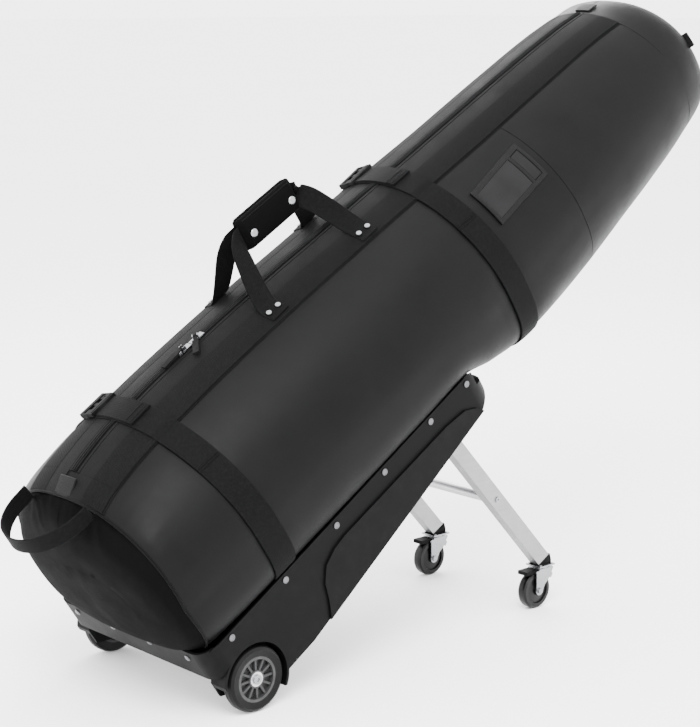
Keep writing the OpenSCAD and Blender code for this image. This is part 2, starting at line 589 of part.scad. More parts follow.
// short strap tails sewn at the far seam
module strap_tails() color([0.08, 0.08, 0.08]) case_frame() soft()
  for (u0 = [strap1_u, strap2_u]) difference() {
    intersection() {
      layer([u0, u0+strap_w/2, u0+strap_w], 1.5, 3.5, 20);
      translate([0, 66, 200]) cube([900, seam(u0)-67.2, 300]);
    }
    on_shoulder(u0+strap_w/2, 50, 2.4) translate([-40, 0, -0.4]) cube([80, 37.4, 12]);
  }
// carry handle: one webbing loop on each flap, joined by a padded wrap
hu0 = 390; hu1 = 597;
function loop_pts(s) = [
  [hu0, s*82, topv(hu0, 82)+3.6], [hu0, s*60, topv(hu0, 60)+3.9],
  [hu0+5, s*46, topv(hu0, 46)+17], [hu0+14, s*33, 401], [hu0+26, s*19, 429], [hu0+38, s*8.5, 443], [444, s*3.6, 446.5],
  [556, s*3.6, 441.5],
  [hu1-38, s*8.5, 437], [hu1-26, s*19, 421], [hu1-14, s*33, 392], [hu1-5, s*46, topv(hu1, 46)+17],
  [hu1, s*60, topv(hu1, 60)+3.9], [hu1, s*82, topv(hu1, 82)+3.6]];
function loop_dirs(s) = [
  [1, 0, 0], [1, 0, 0], [1, 0, -0.15], [1, 0, -0.4], [1, 0, -0.9], [0.3, 0, -1], [0, 0, -1],
  [0, 0, -1], [-0.3, 0, -1], [-1, 0, -0.9], [-1, 0, -0.4], [-1, 0, -0.15], [-1, 0, 0], [-1, 0, 0]];
module handle_loop(s) color([0.08, 0.08, 0.08]) case_frame() mirror([0, s > 0 ? 1 : 0, 0]) soft() {
  P = loop_pts(-1); W = loop_dirs(-1);
  difference() {
    ribbon([for (i = [0:6]) P[i]], [for (i = [0:6]) W[i]], 34, 2.6);
    translate([441, -60, 400]) cube([20, 120, 80]);
  }
  ribbon([P[6]-[5, 0, -0.22], P[7]+[5, 0, -0.22]], [W[6], W[7]], 34, 2.6);
  difference() {
    ribbon([for (i = [7:13]) P[i]], [for (i = [7:13]) W[i]], 34, 2.6);
    translate([539, -60, 400]) cube([20, 120, 80]);
  }
}
// each half of the padded wrap holds the top run of its own loop
module wrap_half(s) color([0.11, 0.11, 0.11]) case_frame() side(s)
  translate([500, 0, 444]) rotate([0, 2.58, 0]) difference() {
    translate([-57, 0, 0]) rotate([90, 0, 90]) linear_extrude(114)
      polygon([[0.4, -26], [9, -25], [13.5, -16], [15, 0], [13.5, 16], [9, 25], [0.4, 26]]);
    translate([-70, 1.8, -17.8]) cube([140, 3.6, 35.6]);
  }
// rivets through the feet of the loops
module handle_rivets(s) color([0.8, 0.81, 0.82]) case_frame() side(s)
  for (u = [380, 400, 587, 607]) on_shoulder(u, 70, 5.9) cylinder(h = 1.8, r = 4.2);

// ---------------------------------------------------------------------------
// Zip sliders with their pulls
// ---------------------------------------------------------------------------
module slider(u, turn) color([0.78, 0.79, 0.80]) case_frame() translate([u, 0, topv(u, 0)]) {
  difference() {
    translate([-13, -5.5, 2.4]) cube([26, 11, 2]);
    for (m = [0, 1]) mirror([0, m, 0]) translate([-20, 5.5, 0]) rotate(12) cube([12, 12, 12]);
  }
  rotate(turn) {
    for (y = [-4.8, 3.4]) translate([-3, y, 4.2]) cube([6, 1.4, 6]);
    ycyl(0, 8, -4.8, 4.8, 1.2);
  }
}
// puller: metal eye round the cross pin and a soft moulded grip
module pull(u, turn) color([0.09, 0.09, 0.09]) case_frame() translate([u, 0, topv(u, 0)]) rotate(turn)
  translate([0, 0, 8]) rotate([0, -3.5, 0]) {
    difference() {
      union() {
        ycyl(0, 0, -3, 3, 3);
        translate([-14, -3, -1]) cube([13, 6, 2]);
        translate([-44, -5, -1.8]) cube([32, 10, 3.6]);
      }
      ycyl(0, 0, -6, 6, 1.3);
    }
  }

base_tray();
tray_rivets();
axle_rod();
axle_bolts();
pivot_brackets();
pivot_shaft();
shaft_retainers();
stop_blocks();
fold_clips();
friction_washers();
axle_spacers();
main_tyre(-1);  // wheel_near_tyre
main_hub(-1);  // wheel_near_hub
main_bearings(-1);  // wheel_near_bearings
main_tyre(1);  // wheel_far_tyre
main_hub(1);  // wheel_far_hub
main_bearings(1);  // wheel_far_bearings
leg_tube(-1);  // leg_near
leg_tube(1);  // leg_far
leg_cross_tube();
leg_bushes();
leg_screws();
foot_wedges();
caster_plates();
fork(-1);  // caster_near_fork
caster_wheel(-1);  // caster_near_wheel
caster_axle(-1);  // caster_near_axle
caster_brake(-1);  // caster_near_brake
fork(1);  // caster_far_fork
caster_wheel(1);  // caster_far_wheel
caster_axle(1);  // caster_far_axle
caster_brake(1);  // caster_far_brake
bag_lower();
bag_upper();
end_panel();
head_pad();
head_tab();
grab_loop();
zip_end_tabs();
straps_side(-1);  // straps_near_side
straps_side(1);  // straps_far_side
id_pocket();
id_window();
flap_panel(-1);  // flap_near
band(-1);  // band_near
zip_half(-1);  // zip_near
strap_tops_near();
buckles_male();
handle_loop(-1);  // handle_near
wrap_half(-1);  // handle_wrap_near
handle_rivets(-1);  // handle_rivets_near
flap_panel(1);  // flap_far
band(1);  // band_far
zip_half(1);  // zip_far
buckles_female();
strap_tails();
handle_loop(1);  // handle_far
wrap_half(1);  // handle_wrap_far
handle_rivets(1);  // handle_rivets_far
slider(263, 0);  // slider_low
slider(291, 48);  // slider_high
pull(263, 0);  // pull_low
pull(291, 48);  // pull_high
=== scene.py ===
import math

import bmesh
import bpy
import numpy as np
from mathutils import Matrix, Vector, noise

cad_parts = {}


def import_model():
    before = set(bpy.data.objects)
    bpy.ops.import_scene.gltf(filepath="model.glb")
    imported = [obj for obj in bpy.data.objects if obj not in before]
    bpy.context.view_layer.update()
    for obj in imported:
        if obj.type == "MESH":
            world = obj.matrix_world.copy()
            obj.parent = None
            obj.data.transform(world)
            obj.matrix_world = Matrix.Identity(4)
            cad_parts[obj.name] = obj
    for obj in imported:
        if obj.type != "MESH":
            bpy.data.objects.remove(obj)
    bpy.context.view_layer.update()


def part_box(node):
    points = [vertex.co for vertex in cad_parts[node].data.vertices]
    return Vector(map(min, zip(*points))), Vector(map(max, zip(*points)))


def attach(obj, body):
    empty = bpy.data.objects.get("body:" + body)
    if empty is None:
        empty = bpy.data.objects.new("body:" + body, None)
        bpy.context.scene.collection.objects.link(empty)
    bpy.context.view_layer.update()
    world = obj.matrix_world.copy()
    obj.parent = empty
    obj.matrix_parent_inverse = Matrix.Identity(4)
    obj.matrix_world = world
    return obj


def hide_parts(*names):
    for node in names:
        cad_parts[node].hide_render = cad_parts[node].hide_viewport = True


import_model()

# ---------------------------------------------------------------- frame of the tilted case
lo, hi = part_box("wheel_near_tyre")
AX = (lo.x + hi.x) / 2 * 1000
AZ = (lo.z + hi.z) / 2 * 1000
T = math.radians(33.0)
CT, STn = math.cos(T), math.sin(T)


def world(u, y, v):
    """Case coordinates in mm (along, across, out) to the row frame in metres; works on arrays."""
    u, y, v = np.asarray(u, float), np.asarray(y, float), np.asarray(v, float)
    return np.stack([(AX + u * CT - v * STn) / 1000, y / 1000 + 0 * u, (AZ + u * STn + v * CT) / 1000], -1)


TAB = np.array([
    [-66, 235, 100, 180, 118, 2.0, 2.2], [-60, 278, 148, 180, 96, 2.0, 2.6], [-48, 316, 178, 182, 80, 2.0, 3.6],
    [-20, 341, 194, 186, 74, 2.3, 4.0], [40, 359, 200, 188, 73, 2.15, 4.0], [110, 368, 203, 190, 73, 2.0, 4.0],
    [200, 371, 204, 190, 73, 1.9, 4.0], [300, 369, 205, 188, 73, 1.9, 4.0], [450, 363, 204, 180, 73, 1.9, 4.0],
    [560, 356, 201, 168, 73, 1.95, 3.8], [640, 352, 197, 152, 44, 2.0, 3.6], [740, 346, 191, 145, 16, 2.0, 3.4],
    [900, 337, 187, 148, 8, 1.9, 2.9], [1050, 328, 182, 150, 12, 1.9, 2.5], [1180, 317, 174, 154, 20, 1.95, 2.4],
    [1260, 305, 167, 156, 30, 2.0, 2.3], [1300, 298, 160, 156, 37, 2.1, 2.3], [1326, 280, 146, 156, 54, 2.2, 2.3],
    [1338, 248, 114, 156, 84, 2.2, 2.3], [1342, 205, 60, 156, 118, 2.2, 2.3]], float)
U0 = TAB[:, 0]
H = np.diff(U0)
D = np.diff(TAB[:, 1:], axis=0) / H[:, None]
SL = np.zeros_like(TAB[:, 1:])
SL[0], SL[-1] = D[0], D[-1]
for k in range(1, len(U0) - 1):
    a, b = D[k - 1], D[k]
    with np.errstate(all="ignore"):
        SL[k] = np.where(a * b > 0, 2 * a * b / (a + b), 0)


def row(u):
    u = np.asarray(u, float)
    i = np.clip(np.searchsorted(U0, u, side="right") - 1, 0, len(U0) - 2)
    h = H[i][..., None]
    t = ((u - U0[i]) / H[i])[..., None]
    p0, p1, m0, m1 = TAB[i, 1:], TAB[i + 1, 1:], SL[i], SL[i + 1]
    r = (2 * t**3 - 3 * t**2 + 1) * p0 + (t**3 - 2 * t**2 + t) * h * m0 + (3 * t**2 - 2 * t**3) * p1 + (t**3 - t**2) * h * m1
    return [r[..., k] for k in range(6)]


def yv(u, th, o=0.0):
    """Point of the case's cross-section at u, in polar angle th (radians, pi/2 is the zipped face)."""
    vt, w, vm, vb, nu, nl = row(u)
    c, s = np.cos(th), np.sin(th)
    up = s >= 0
    n = np.where(up, nu, nl)
    h = np.where(up, vt + o - vm, vm - vb + o)
    w = w + o
    r = 1 / ((np.abs(c) / w) ** n + (np.abs(s) / h) ** n) ** (1 / n)
    return r * c, vm + r * s


def topv(u, y):
    vt, w, vm, vb, nu, nl = row(u)
    return vm + (vt - vm) * np.clip(1 - (np.abs(y) / w) ** nu, 0, 1) ** (1 / nu)


def seam(u):
    return 91 - 0.0085 * np.asarray(u, float)


def th_at(u, y):
    """Polar angle of the zipped face's point y (y may be negative)."""
    vm = row(u)[2]
    return np.arctan2(topv(u, y) - vm, y)


def smooth(t):
    t = np.clip(t, 0, 1)
    return t * t * (3 - 2 * t)


def nz(x, y, z=0.0):
    return noise.noise(Vector((x, y, z)))


# ---------------------------------------------------------------- mesh helpers
def make(name, verts, faces, mat, uv=None, smooth_angle=40, flat=False):
    me = bpy.data.meshes.new(name)
    me.from_pydata([tuple(v) for v in verts], [], [tuple(int(i) for i in f) for f in faces])
    me.validate()
    ob = bpy.data.objects.new(name, me)
    bpy.context.scene.collection.objects.link(ob)
    if uv is not None:
        lay = me.uv_layers.new(name="UVMap")
        idx = np.zeros(len(me.loops), np.int32)
        me.loops.foreach_get("vertex_index", idx)
        lay.data.foreach_set("uv", np.asarray(uv, np.float32)[idx].reshape(-1))
    me.materials.append(mat)
    if not flat:
        me.polygons.foreach_set("use_smooth", [True] * len(me.polygons))
        if smooth_angle:
            bpy.context.view_layer.update()
            me.set_sharp_from_angle(angle=math.radians(smooth_angle))
    return ob


def normals(V):
    du = np.gradient(V, axis=0)
    dv = np.gradient(V, axis=1)
    n = np.cross(du, dv)
    ln = np.linalg.norm(n, axis=-1, keepdims=True)
    return n / np.where(ln < 1e-12, 1, ln)


def slab(name, V, t, mat, flip=False, lift=0.0, round_edge=True, uvscale=1.0, back=None, auto=True):
    """A sheet of thickness t (metres) whose outer face is the grid V, closed all round."""
    n = normals(V)
    axp = np.stack([V[..., 0] - AX / 1000, 0 * V[..., 1], V[..., 2] - AZ / 1000], -1)
    ua = axp[..., 0] * CT + axp[..., 2] * STn
    ax = world(np.clip(ua * 1000, 40, 1260), 0 * ua, 0 * ua + 190)
    flip = bool(np.sum(n * (V - ax)) < 0) if auto else flip
    n = n * (-1 if flip else 1)
    O = V + n * lift
    I = back if back is not None else O - n * t
    M, N = V.shape[:2]
    layers = [O, I]
    # a middle ring that stands out a little rounds the rim
    P = np.concatenate([O.reshape(-1, 3), I.reshape(-1, 3)])
    k = M * N
    ii, jj = np.meshgrid(np.arange(M - 1), np.arange(N - 1), indexing="ij")
    a = (ii * N + jj).ravel()
    quads = np.stack([a, a + N, a + N + 1, a + 1], -1)
    faces = [q for q in (quads if not flip else quads[:, ::-1])]
    faces += [q for q in ((quads[:, ::-1] if not flip else quads) + k)]
    rim = [i * N for i in range(M)] + [(M - 1) * N + j for j in range(1, N)] + [i * N + N - 1 for i in range(M - 2, -1, -1)] + [j for j in range(N - 2, 0, -1)]
    rim = np.array(rim)
    nxt = np.roll(rim, -1)
    if round_edge:
        cen = (O + I) / 2
        # outward direction at the rim, in the sheet
        mid = cen.reshape(-1, 3)[rim]
        tan = np.roll(mid, -1, 0) - np.roll(mid, 1, 0)
        nn = n.reshape(-1, 3)[rim]
        out = np.cross(tan, nn)
        out /= np.maximum(np.linalg.norm(out, axis=1, keepdims=True), 1e-9)
        if not flip:
            out = out
        else:
            out = -out
        ring = mid + out * (t * 0.35)
        base = len(P)
        P = np.concatenate([P, ring])
        m = len(rim)
        r = base + np.arange(m)
        rn = base + (np.arange(m) + 1) % m
        for x, y, z, w in zip(rim, nxt, rn, r):
            faces.append((x, y, z, w) if flip else (y, x, w, z))
        for x, y, z, w in zip(rim + k, nxt + k, rn, r):
            faces.append((y, x, w, z) if flip else (x, y, z, w))
    else:
        for x, y in zip(rim, nxt):
            faces.append((x, y, y + k, x + k) if flip else (y, x, x + k, y + k))
    du = np.concatenate([[0], np.cumsum(np.linalg.norm(np.diff(V, axis=0), axis=2).mean(1))])
    dv = np.concatenate([np.zeros((M, 1)), np.cumsum(np.linalg.norm(np.diff(V, axis=1), axis=2), axis=1)], 1)
    uv = np.stack([np.repeat(du[:, None], N, 1), dv], -1).reshape(-1, 2)
    uv = np.concatenate([uv, uv])
    if round_edge:
        uv = np.concatenate([uv, uv[rim]])
    ob = make(name, P, faces, mat, uv * uvscale)
    bm = bmesh.new()
    bm.from_mesh(ob.data)
    bmesh.ops.recalc_face_normals(bm, faces=bm.faces)
    bm.to_mesh(ob.data)
    bm.free()
    return ob


def tube(name, P, r, mat, seg=10, caps=True, closed=False):
    P = np.asarray(P, float)
    n = len(P)
    tan = np.gradient(P, axis=0) if not closed else (np.roll(P, -1, 0) - np.roll(P, 1, 0))
    tan /= np.linalg.norm(tan, axis=1, keepdims=True)
    up = np.array([0, 0, 1.0]) if abs(tan[0][2]) < 0.9 else np.array([1.0, 0, 0])
    V = []
    nrm = np.cross(tan[0], up); nrm /= np.linalg.norm(nrm)
    r = np.full(n, r) if np.isscalar(r) else np.asarray(r)
    for i in range(n):
        nrm = nrm - tan[i] * np.dot(nrm, tan[i]); nrm /= np.linalg.norm(nrm)
        b = np.cross(tan[i], nrm)
        for k in range(seg):
            a = 2 * math.pi * k / seg
            V.append(P[i] + r[i] * (math.cos(a) * nrm + math.sin(a) * b))
    F = []
    for i in range(n if closed else n - 1):
        for k in range(seg):
            j, i2 = (k + 1) % seg, (i + 1) % n
            F.append((i * seg + k, i * seg + j, i2 * seg + j, i2 * seg + k))
    if caps and not closed:
        F.append(tuple(range(seg))[::-1])
        F.append(tuple((n - 1) * seg + k for k in range(seg)))
    L = np.concatenate([[0], np.cumsum(np.linalg.norm(np.diff(P, axis=0), axis=1))])
    uv = [(L[i], k * r[i]) for i in range(n) for k in range(seg)]
    return make(name, V, F, mat, uv, smooth_angle=60)


def ribbon_grid(P, W, w, cols=7):
    """Grid of a flat band along points P with width directions W (all metres)."""
    P, W = np.asarray(P, float), np.asarray(W, float)
    tan = np.gradient(P, axis=0)
    tan /= np.linalg.norm(tan, axis=1, keepdims=True)
    W = W - tan * np.sum(W * tan, 1, keepdims=True)
    W /= np.linalg.norm(W, axis=1, keepdims=True)
    f = np.linspace(-0.5, 0.5, cols)
    return P[:, None, :] + W[:, None, :] * (f[None, :, None] * w)


def spline(P, n):
    """Smooth curve (Catmull-Rom) through points, n samples, about even in length."""
    P = np.asarray(P, float)
    Q = np.vstack([2 * P[0] - P[1], P, 2 * P[-1] - P[-2]])
    out = []
    for i in range(1, len(Q) - 2):
        for t in np.linspace(0, 1, 24, endpoint=False):
            a, b, c, d = Q[i - 1], Q[i], Q[i + 1], Q[i + 2]
            out.append(0.5 * (2 * b + (c - a) * t + (2 * a - 5 * b + 4 * c - d) * t**2 + (3 * b - a - 3 * c + d) * t**3))
    out.append(P[-1])
    out = np.array(out)
    L = np.concatenate([[0], np.cumsum(np.linalg.norm(np.diff(out[:, :3], axis=0), axis=1))])
    s = np.linspace(0, L[-1], n)
    return np.stack([np.interp(s, L, out[:, k]) for k in range(out.shape[1])], -1)


# ---------------------------------------------------------------- materials
def new_mat(name):
    m = bpy.data.materials.new(name)
    m.use_nodes = True
    nt = m.node_tree
    b = nt.nodes["Principled BSDF"]
    return m, nt, b


def N(nt, kind, **kw):
    n = nt.nodes.new(kind)
    for k, v in kw.items():
        if k in n.inputs:
            n.inputs[k].default_value = v
        else:
            setattr(n, k, v)
    return n


def ramp(nt, fac, stops):
    r = nt.nodes.new("ShaderNodeValToRGB")
    el = r.color_ramp.elements
    while len(el) < len(stops):
        el.new(0.5)
    for e, (p, c) in zip(el, stops):
        e.position = p
        e.color = (*c, 1) if len(c) == 3 else c
    nt.links.new(fac, r.inputs["Fac"])
    return r.outputs["Color"]


def grey(x):
    return (x, x, x * 1.03)


def weave_bump(nt, coord, pitch, aspect=1.0, twill=False):
    """Height of a plain weave with the given thread pitch in metres."""
    sep = N(nt, "ShaderNodeSeparateXYZ")
    nt.links.new(coord, sep.inputs[0])

    def sine(out, p, phase=None):
        m = N(nt, "ShaderNodeMath", operation="MULTIPLY")
        m.inputs[1].default_value = math.pi / p
        nt.links.new(out, m.inputs[0])
        s = N(nt, "ShaderNodeMath", operation="SINE")
        nt.links.new(m.outputs[0], s.inputs[0])
        a = N(nt, "ShaderNodeMath", operation="ABSOLUTE")
        nt.links.new(s.outputs[0], a.inputs[0])
        return a.outputs[0], s.outputs[0]
    a1, s1 = sine(sep.outputs[0], pitch)
    a2, s2 = sine(sep.outputs[1], pitch * aspect)
    mul = N(nt, "ShaderNodeMath", operation="MULTIPLY")
    nt.links.new(s1, mul.inputs[0]); nt.links.new(s2, mul.inputs[1])
    gt = N(nt, "ShaderNodeMath", operation="GREATER_THAN")
    nt.links.new(mul.outputs[0], gt.inputs[0]); gt.inputs[1].default_value = 0
    mix = N(nt, "ShaderNodeMix", data_type="FLOAT")
    nt.links.new(gt.outputs[0], mix.inputs[0])
    nt.links.new(a1, mix.inputs[2]); nt.links.new(a2, mix.inputs[3])
    return mix.outputs[0]


# the room is bright, so the black cloth and plastic are kept deep
TONE, SPEC_TONE = 0.38, 0.32


def fabric(name, base, rough, pitch, bump=0.25, sheen=0.25, crown_highlight=0.25, aspect=1.0, spec=0.5, rough_var=0.08, dist=0.0004, mottling=14.0, coat=0.0):
    base, spec, sheen = tuple(c * TONE for c in base), spec * SPEC_TONE, sheen * TONE
    m, nt, b = new_mat(name)
    uvn = N(nt, "ShaderNodeTexCoord")
    h = weave_bump(nt, uvn.outputs["UV"], pitch, aspect)
    big = N(nt, "ShaderNodeTexNoise", Scale=mottling, Detail=5.0, Roughness=0.6)
    nt.links.new(uvn.outputs["Object"], big.inputs["Vector"])
    fine = N(nt, "ShaderNodeTexNoise", Scale=900.0, Detail=3.0)
    nt.links.new(uvn.outputs["UV"], fine.inputs["Vector"])
    add = N(nt, "ShaderNodeMath", operation="MULTIPLY_ADD")
    nt.links.new(fine.outputs["Fac"], add.inputs[0]); add.inputs[1].default_value = 0.5
    nt.links.new(h, add.inputs[2])
    bp = N(nt, "ShaderNodeBump", Strength=bump, Distance=dist)
    nt.links.new(add.outputs[0], bp.inputs["Height"])
    nt.links.new(bp.outputs[0], b.inputs["Normal"])
    # colour follows the weave height: painted shade in the valleys between threads and a painted highlight on the
    # thread crowns
    col = ramp(nt, h, [(0.0, tuple(c * 0.45 for c in base)), (0.75, base), (1.0, tuple(c * (1 + crown_highlight) for c in base))])
    mx = N(nt, "ShaderNodeMix", data_type="RGBA", blend_type="MULTIPLY")
    mx.inputs[0].default_value = 1.0
    v = ramp(nt, big.outputs["Fac"], [(0.3, (0.78, 0.78, 0.8)), (0.7, (1.12, 1.12, 1.12))])
    nt.links.new(col, mx.inputs[6]); nt.links.new(v, mx.inputs[7])
    nt.links.new(mx.outputs[2], b.inputs["Base Color"])
    rr = N(nt, "ShaderNodeMapRange")
    rr.inputs[1].default_value, rr.inputs[2].default_value = 0.3, 0.7
    rr.inputs[3].default_value, rr.inputs[4].default_value = rough - rough_var, rough + rough_var
    nt.links.new(big.outputs["Fac"], rr.inputs[0])
    nt.links.new(rr.outputs[0], b.inputs["Roughness"])
    b.inputs["Sheen Weight"].default_value = sheen
    b.inputs["Sheen Roughness"].default_value = 0.4
    b.inputs["Specular IOR Level"].default_value = spec
    return m


def webbing(name, base=(0.017, 0.017, 0.018), rib=0.0016, spec=0.35, rough=0.72, sheen=0.35):
    """Woven strap: ribs across; UV x runs along the strap, in metres."""
    base, spec, sheen = tuple(c * TONE for c in base), spec * SPEC_TONE, sheen * TONE
    m, nt, b = new_mat(name)
    tc = N(nt, "ShaderNodeTexCoord")
    h = weave_bump(nt, tc.outputs["UV"], rib, 1.9)
    fine = N(nt, "ShaderNodeTexNoise", Scale=1400.0, Detail=2.0)
    nt.links.new(tc.outputs["UV"], fine.inputs["Vector"])
    add = N(nt, "ShaderNodeMath", operation="MULTIPLY_ADD")
    nt.links.new(fine.outputs["Fac"], add.inputs[0]); add.inputs[1].default_value = 0.6
    nt.links.new(h, add.inputs[2])
    bp = N(nt, "ShaderNodeBump", Strength=0.45, Distance=0.0004)
    nt.links.new(add.outputs[0], bp.inputs["Height"])
    nt.links.new(bp.outputs[0], b.inputs["Normal"])
    # colour follows the rib height plus fine noise: painted shade in the rib valleys and a painted highlight on the rib
    # tops, with random tone from the noise
    col = ramp(nt, add.outputs[0], [(0.1, tuple(c * 0.5 for c in base)), (0.6, base), (1.0, tuple(c * 1.6 for c in base))])
    spk = N(nt, "ShaderNodeTexNoise", Scale=330.0, Detail=2.0)
    nt.links.new(tc.outputs["Object"], spk.inputs["Vector"])
    sc = ramp(nt, spk.outputs["Fac"], [(0.38, (0.7, 0.7, 0.71)), (0.52, (1.0, 1.0, 1.0)), (0.66, (1.4, 1.4, 1.4))])
    smx = N(nt, "ShaderNodeMix", data_type="RGBA", blend_type="MULTIPLY")
    smx.inputs[0].default_value = 1.0
    nt.links.new(col, smx.inputs[6]); nt.links.new(sc, smx.inputs[7])
    nt.links.new(smx.outputs[2], b.inputs["Base Color"])
    rr = N(nt, "ShaderNodeMapRange")
    rr.inputs[3].default_value, rr.inputs[4].default_value = rough + 0.08, rough - 0.06
    nt.links.new(h, rr.inputs[0])
    nt.links.new(rr.outputs[0], b.inputs["Roughness"])
    b.inputs["Sheen Weight"].default_value = sheen
    b.inputs["Sheen Roughness"].default_value = 0.45
    b.inputs["Specular IOR Level"].default_value = spec
    return m


def plastic(name, base, rough, grain=900.0, bump=0.12, wear=0.0, spec=0.5, var=0.25, dist=0.0003):
    base, spec, sheen = tuple(c * TONE for c in base), spec * SPEC_TONE, 0.0
    m, nt, b = new_mat(name)
    tc = N(nt, "ShaderNodeTexCoord")
    fine = N(nt, "ShaderNodeTexNoise", Scale=grain, Detail=4.0, Roughness=0.6)
    nt.links.new(tc.outputs["Object"], fine.inputs["Vector"])
    big = N(nt, "ShaderNodeTexNoise", Scale=9.0, Detail=6.0, Roughness=0.65)
    nt.links.new(tc.outputs["Object"], big.inputs["Vector"])
    bp = N(nt, "ShaderNodeBump", Strength=bump, Distance=dist)
    nt.links.new(fine.outputs["Fac"], bp.inputs["Height"])
    nt.links.new(bp.outputs[0], b.inputs["Normal"])
    c1 = ramp(nt, big.outputs["Fac"], [(0.3, tuple(c * (1 - var) for c in base)), (0.7, tuple(c * (1 + var) for c in base))])
    if wear:
        geo = N(nt, "ShaderNodeNewGeometry")
        scr = N(nt, "ShaderNodeTexNoise", Scale=60.0, Detail=8.0, Roughness=0.75)
        nt.links.new(tc.outputs["Object"], scr.inputs["Vector"])
        mul = N(nt, "ShaderNodeMath", operation="MULTIPLY")
        e = ramp(nt, geo.outputs["Pointiness"], [(0.51, (0, 0, 0)), (0.58, (1, 1, 1))])
        s = ramp(nt, scr.outputs["Fac"], [(0.42, (0, 0, 0)), (0.62, (1, 1, 1))])
        nt.links.new(e, mul.inputs[0]); nt.links.new(s, mul.inputs[1])
        w2 = N(nt, "ShaderNodeMath", operation="MULTIPLY"); w2.inputs[1].default_value = wear
        nt.links.new(mul.outputs[0], w2.inputs[0])
        mx = N(nt, "ShaderNodeMix", data_type="RGBA")
        nt.links.new(w2.outputs[0], mx.inputs[0])
        nt.links.new(c1, mx.inputs[6]); mx.inputs[7].default_value = (base[0] * 4 + 0.05, base[1] * 4 + 0.05, base[2] * 4 + 0.05, 1)
        nt.links.new(mx.outputs[2], b.inputs["Base Color"])
    else:
        nt.links.new(c1, b.inputs["Base Color"])
    rr = N(nt, "ShaderNodeMapRange")
    rr.inputs[1].default_value, rr.inputs[2].default_value = 0.3, 0.7
    rr.inputs[3].default_value, rr.inputs[4].default_value = max(rough - 0.07, 0.02), rough + 0.07
    nt.links.new(big.outputs["Fac"], rr.inputs[0])
    nt.links.new(rr.outputs[0], b.inputs["Roughness"])
    b.inputs["Specular IOR Level"].default_value = spec
    return m


def metal(name, base, rough, brushed=None, scratch=0.3):
    m, nt, b = new_mat(name)
    b.inputs["Metallic"].default_value = 1.0
    tc = N(nt, "ShaderNodeTexCoord")
    mp = N(nt, "ShaderNodeMapping")
    nt.links.new(tc.outputs["Object"], mp.inputs["Vector"])
    if brushed:
        mp.inputs["Rotation"].default_value = brushed[0]
        mp.inputs["Scale"].default_value = brushed[1]
    n1 = N(nt, "ShaderNodeTexNoise", Scale=240.0 if brushed else 500.0, Detail=5.0, Roughness=0.6)
    nt.links.new(mp.outputs[0], n1.inputs["Vector"])
    big = N(nt, "ShaderNodeTexNoise", Scale=25.0, Detail=5.0)
    nt.links.new(tc.outputs["Object"], big.inputs["Vector"])
    bp = N(nt, "ShaderNodeBump", Strength=scratch, Distance=0.00012)
    nt.links.new(n1.outputs["Fac"], bp.inputs["Height"])
    nt.links.new(bp.outputs[0], b.inputs["Normal"])
    c1 = ramp(nt, big.outputs["Fac"], [(0.3, tuple(c * 0.88 for c in base)), (0.7, tuple(min(1, c * 1.06) for c in base))])
    nt.links.new(c1, b.inputs["Base Color"])
    rr = N(nt, "ShaderNodeMapRange")
    rr.inputs[1].default_value, rr.inputs[2].default_value = 0.3, 0.7
    rr.inputs[3].default_value, rr.inputs[4].default_value = max(0.03, rough - 0.08), rough + 0.1
    nt.links.new(n1.outputs["Fac"], rr.inputs[0])
    nt.links.new(rr.outputs[0], b.inputs["Roughness"])
    return m


NYLON = fabric("satin_nylon", (0.0048, 0.0048, 0.0051), 0.42, 0.0009, bump=0.22, sheen=0.015, spec=0.2, dist=0.0003)
# darker copy of the satin nylon: its lower colour is painted shade for the end panel, which faces the bright floor; the
# handle wraps and the pocket base use it too
NYLON_PAINTED_SHADE = fabric("end_nylon_painted_shade", (0.0026, 0.0026, 0.0028), 0.8, 0.0010, bump=0.3, sheen=0.004, spec=0.09, dist=0.0003)
FACE = fabric("face_cloth", (0.0060, 0.0060, 0.0063), 0.7, 0.0011, bump=0.3, sheen=0.02, spec=0.18)
BAND = webbing("wide_band_weave", (0.0042, 0.0042, 0.0045), rib=0.0022, sheen=0.03, rough=0.75, spec=0.12)
WEB = webbing("strap_webbing", (0.0036, 0.0036, 0.0039), rib=0.0017, sheen=0.025, spec=0.12)
LINING = fabric("lining_cloth", (0.13, 0.13, 0.135), 0.8, 0.0014, bump=0.4, sheen=0.3, spec=0.3)
TAPE = webbing("zip_tape_weave", (0.004, 0.004, 0.0042), rib=0.0009, rough=0.8, spec=0.12, sheen=0.05)
COIL = plastic("zip_coil_nylon", (0.009, 0.009, 0.0095), 0.5, grain=1500, bump=0.05, spec=0.2)
BINDING = fabric("binding_tape", (0.0065, 0.0065, 0.0068), 0.5, 0.0008, bump=0.5, sheen=0.03, spec=0.22)
PATCH = fabric("blank_patch", (0.011, 0.011, 0.0115), 0.45, 0.0007, bump=0.2, sheen=0.03, spec=0.25)
THREAD = fabric("sewing_thread", (0.003, 0.003, 0.0032), 0.6, 0.0005, bump=0.4, sheen=0.03, spec=0.15)
TRAY = plastic("moulded_tray", (0.0050, 0.0050, 0.0053), 0.46, grain=1600.0, bump=0.2, wear=0.03, spec=0.14, var=0.06)
BLACKP = plastic("black_acetal", (0.004, 0.004, 0.0043), 0.6, grain=700.0, bump=0.1, wear=0.08, spec=0.12)
TYRE = plastic("tyre_rubber", (0.006, 0.006, 0.0063), 0.42, grain=1200.0, bump=0.1, wear=0.05, spec=0.25, var=0.05)
CASTER_R = plastic("caster_rubber", (0.0035, 0.0035, 0.0037), 0.3, grain=900.0, bump=0.08, spec=0.55)
HUB = plastic("hub_nylon", (0.055, 0.055, 0.057), 0.4, grain=900.0, bump=0.12, wear=0.1, var=0.08)
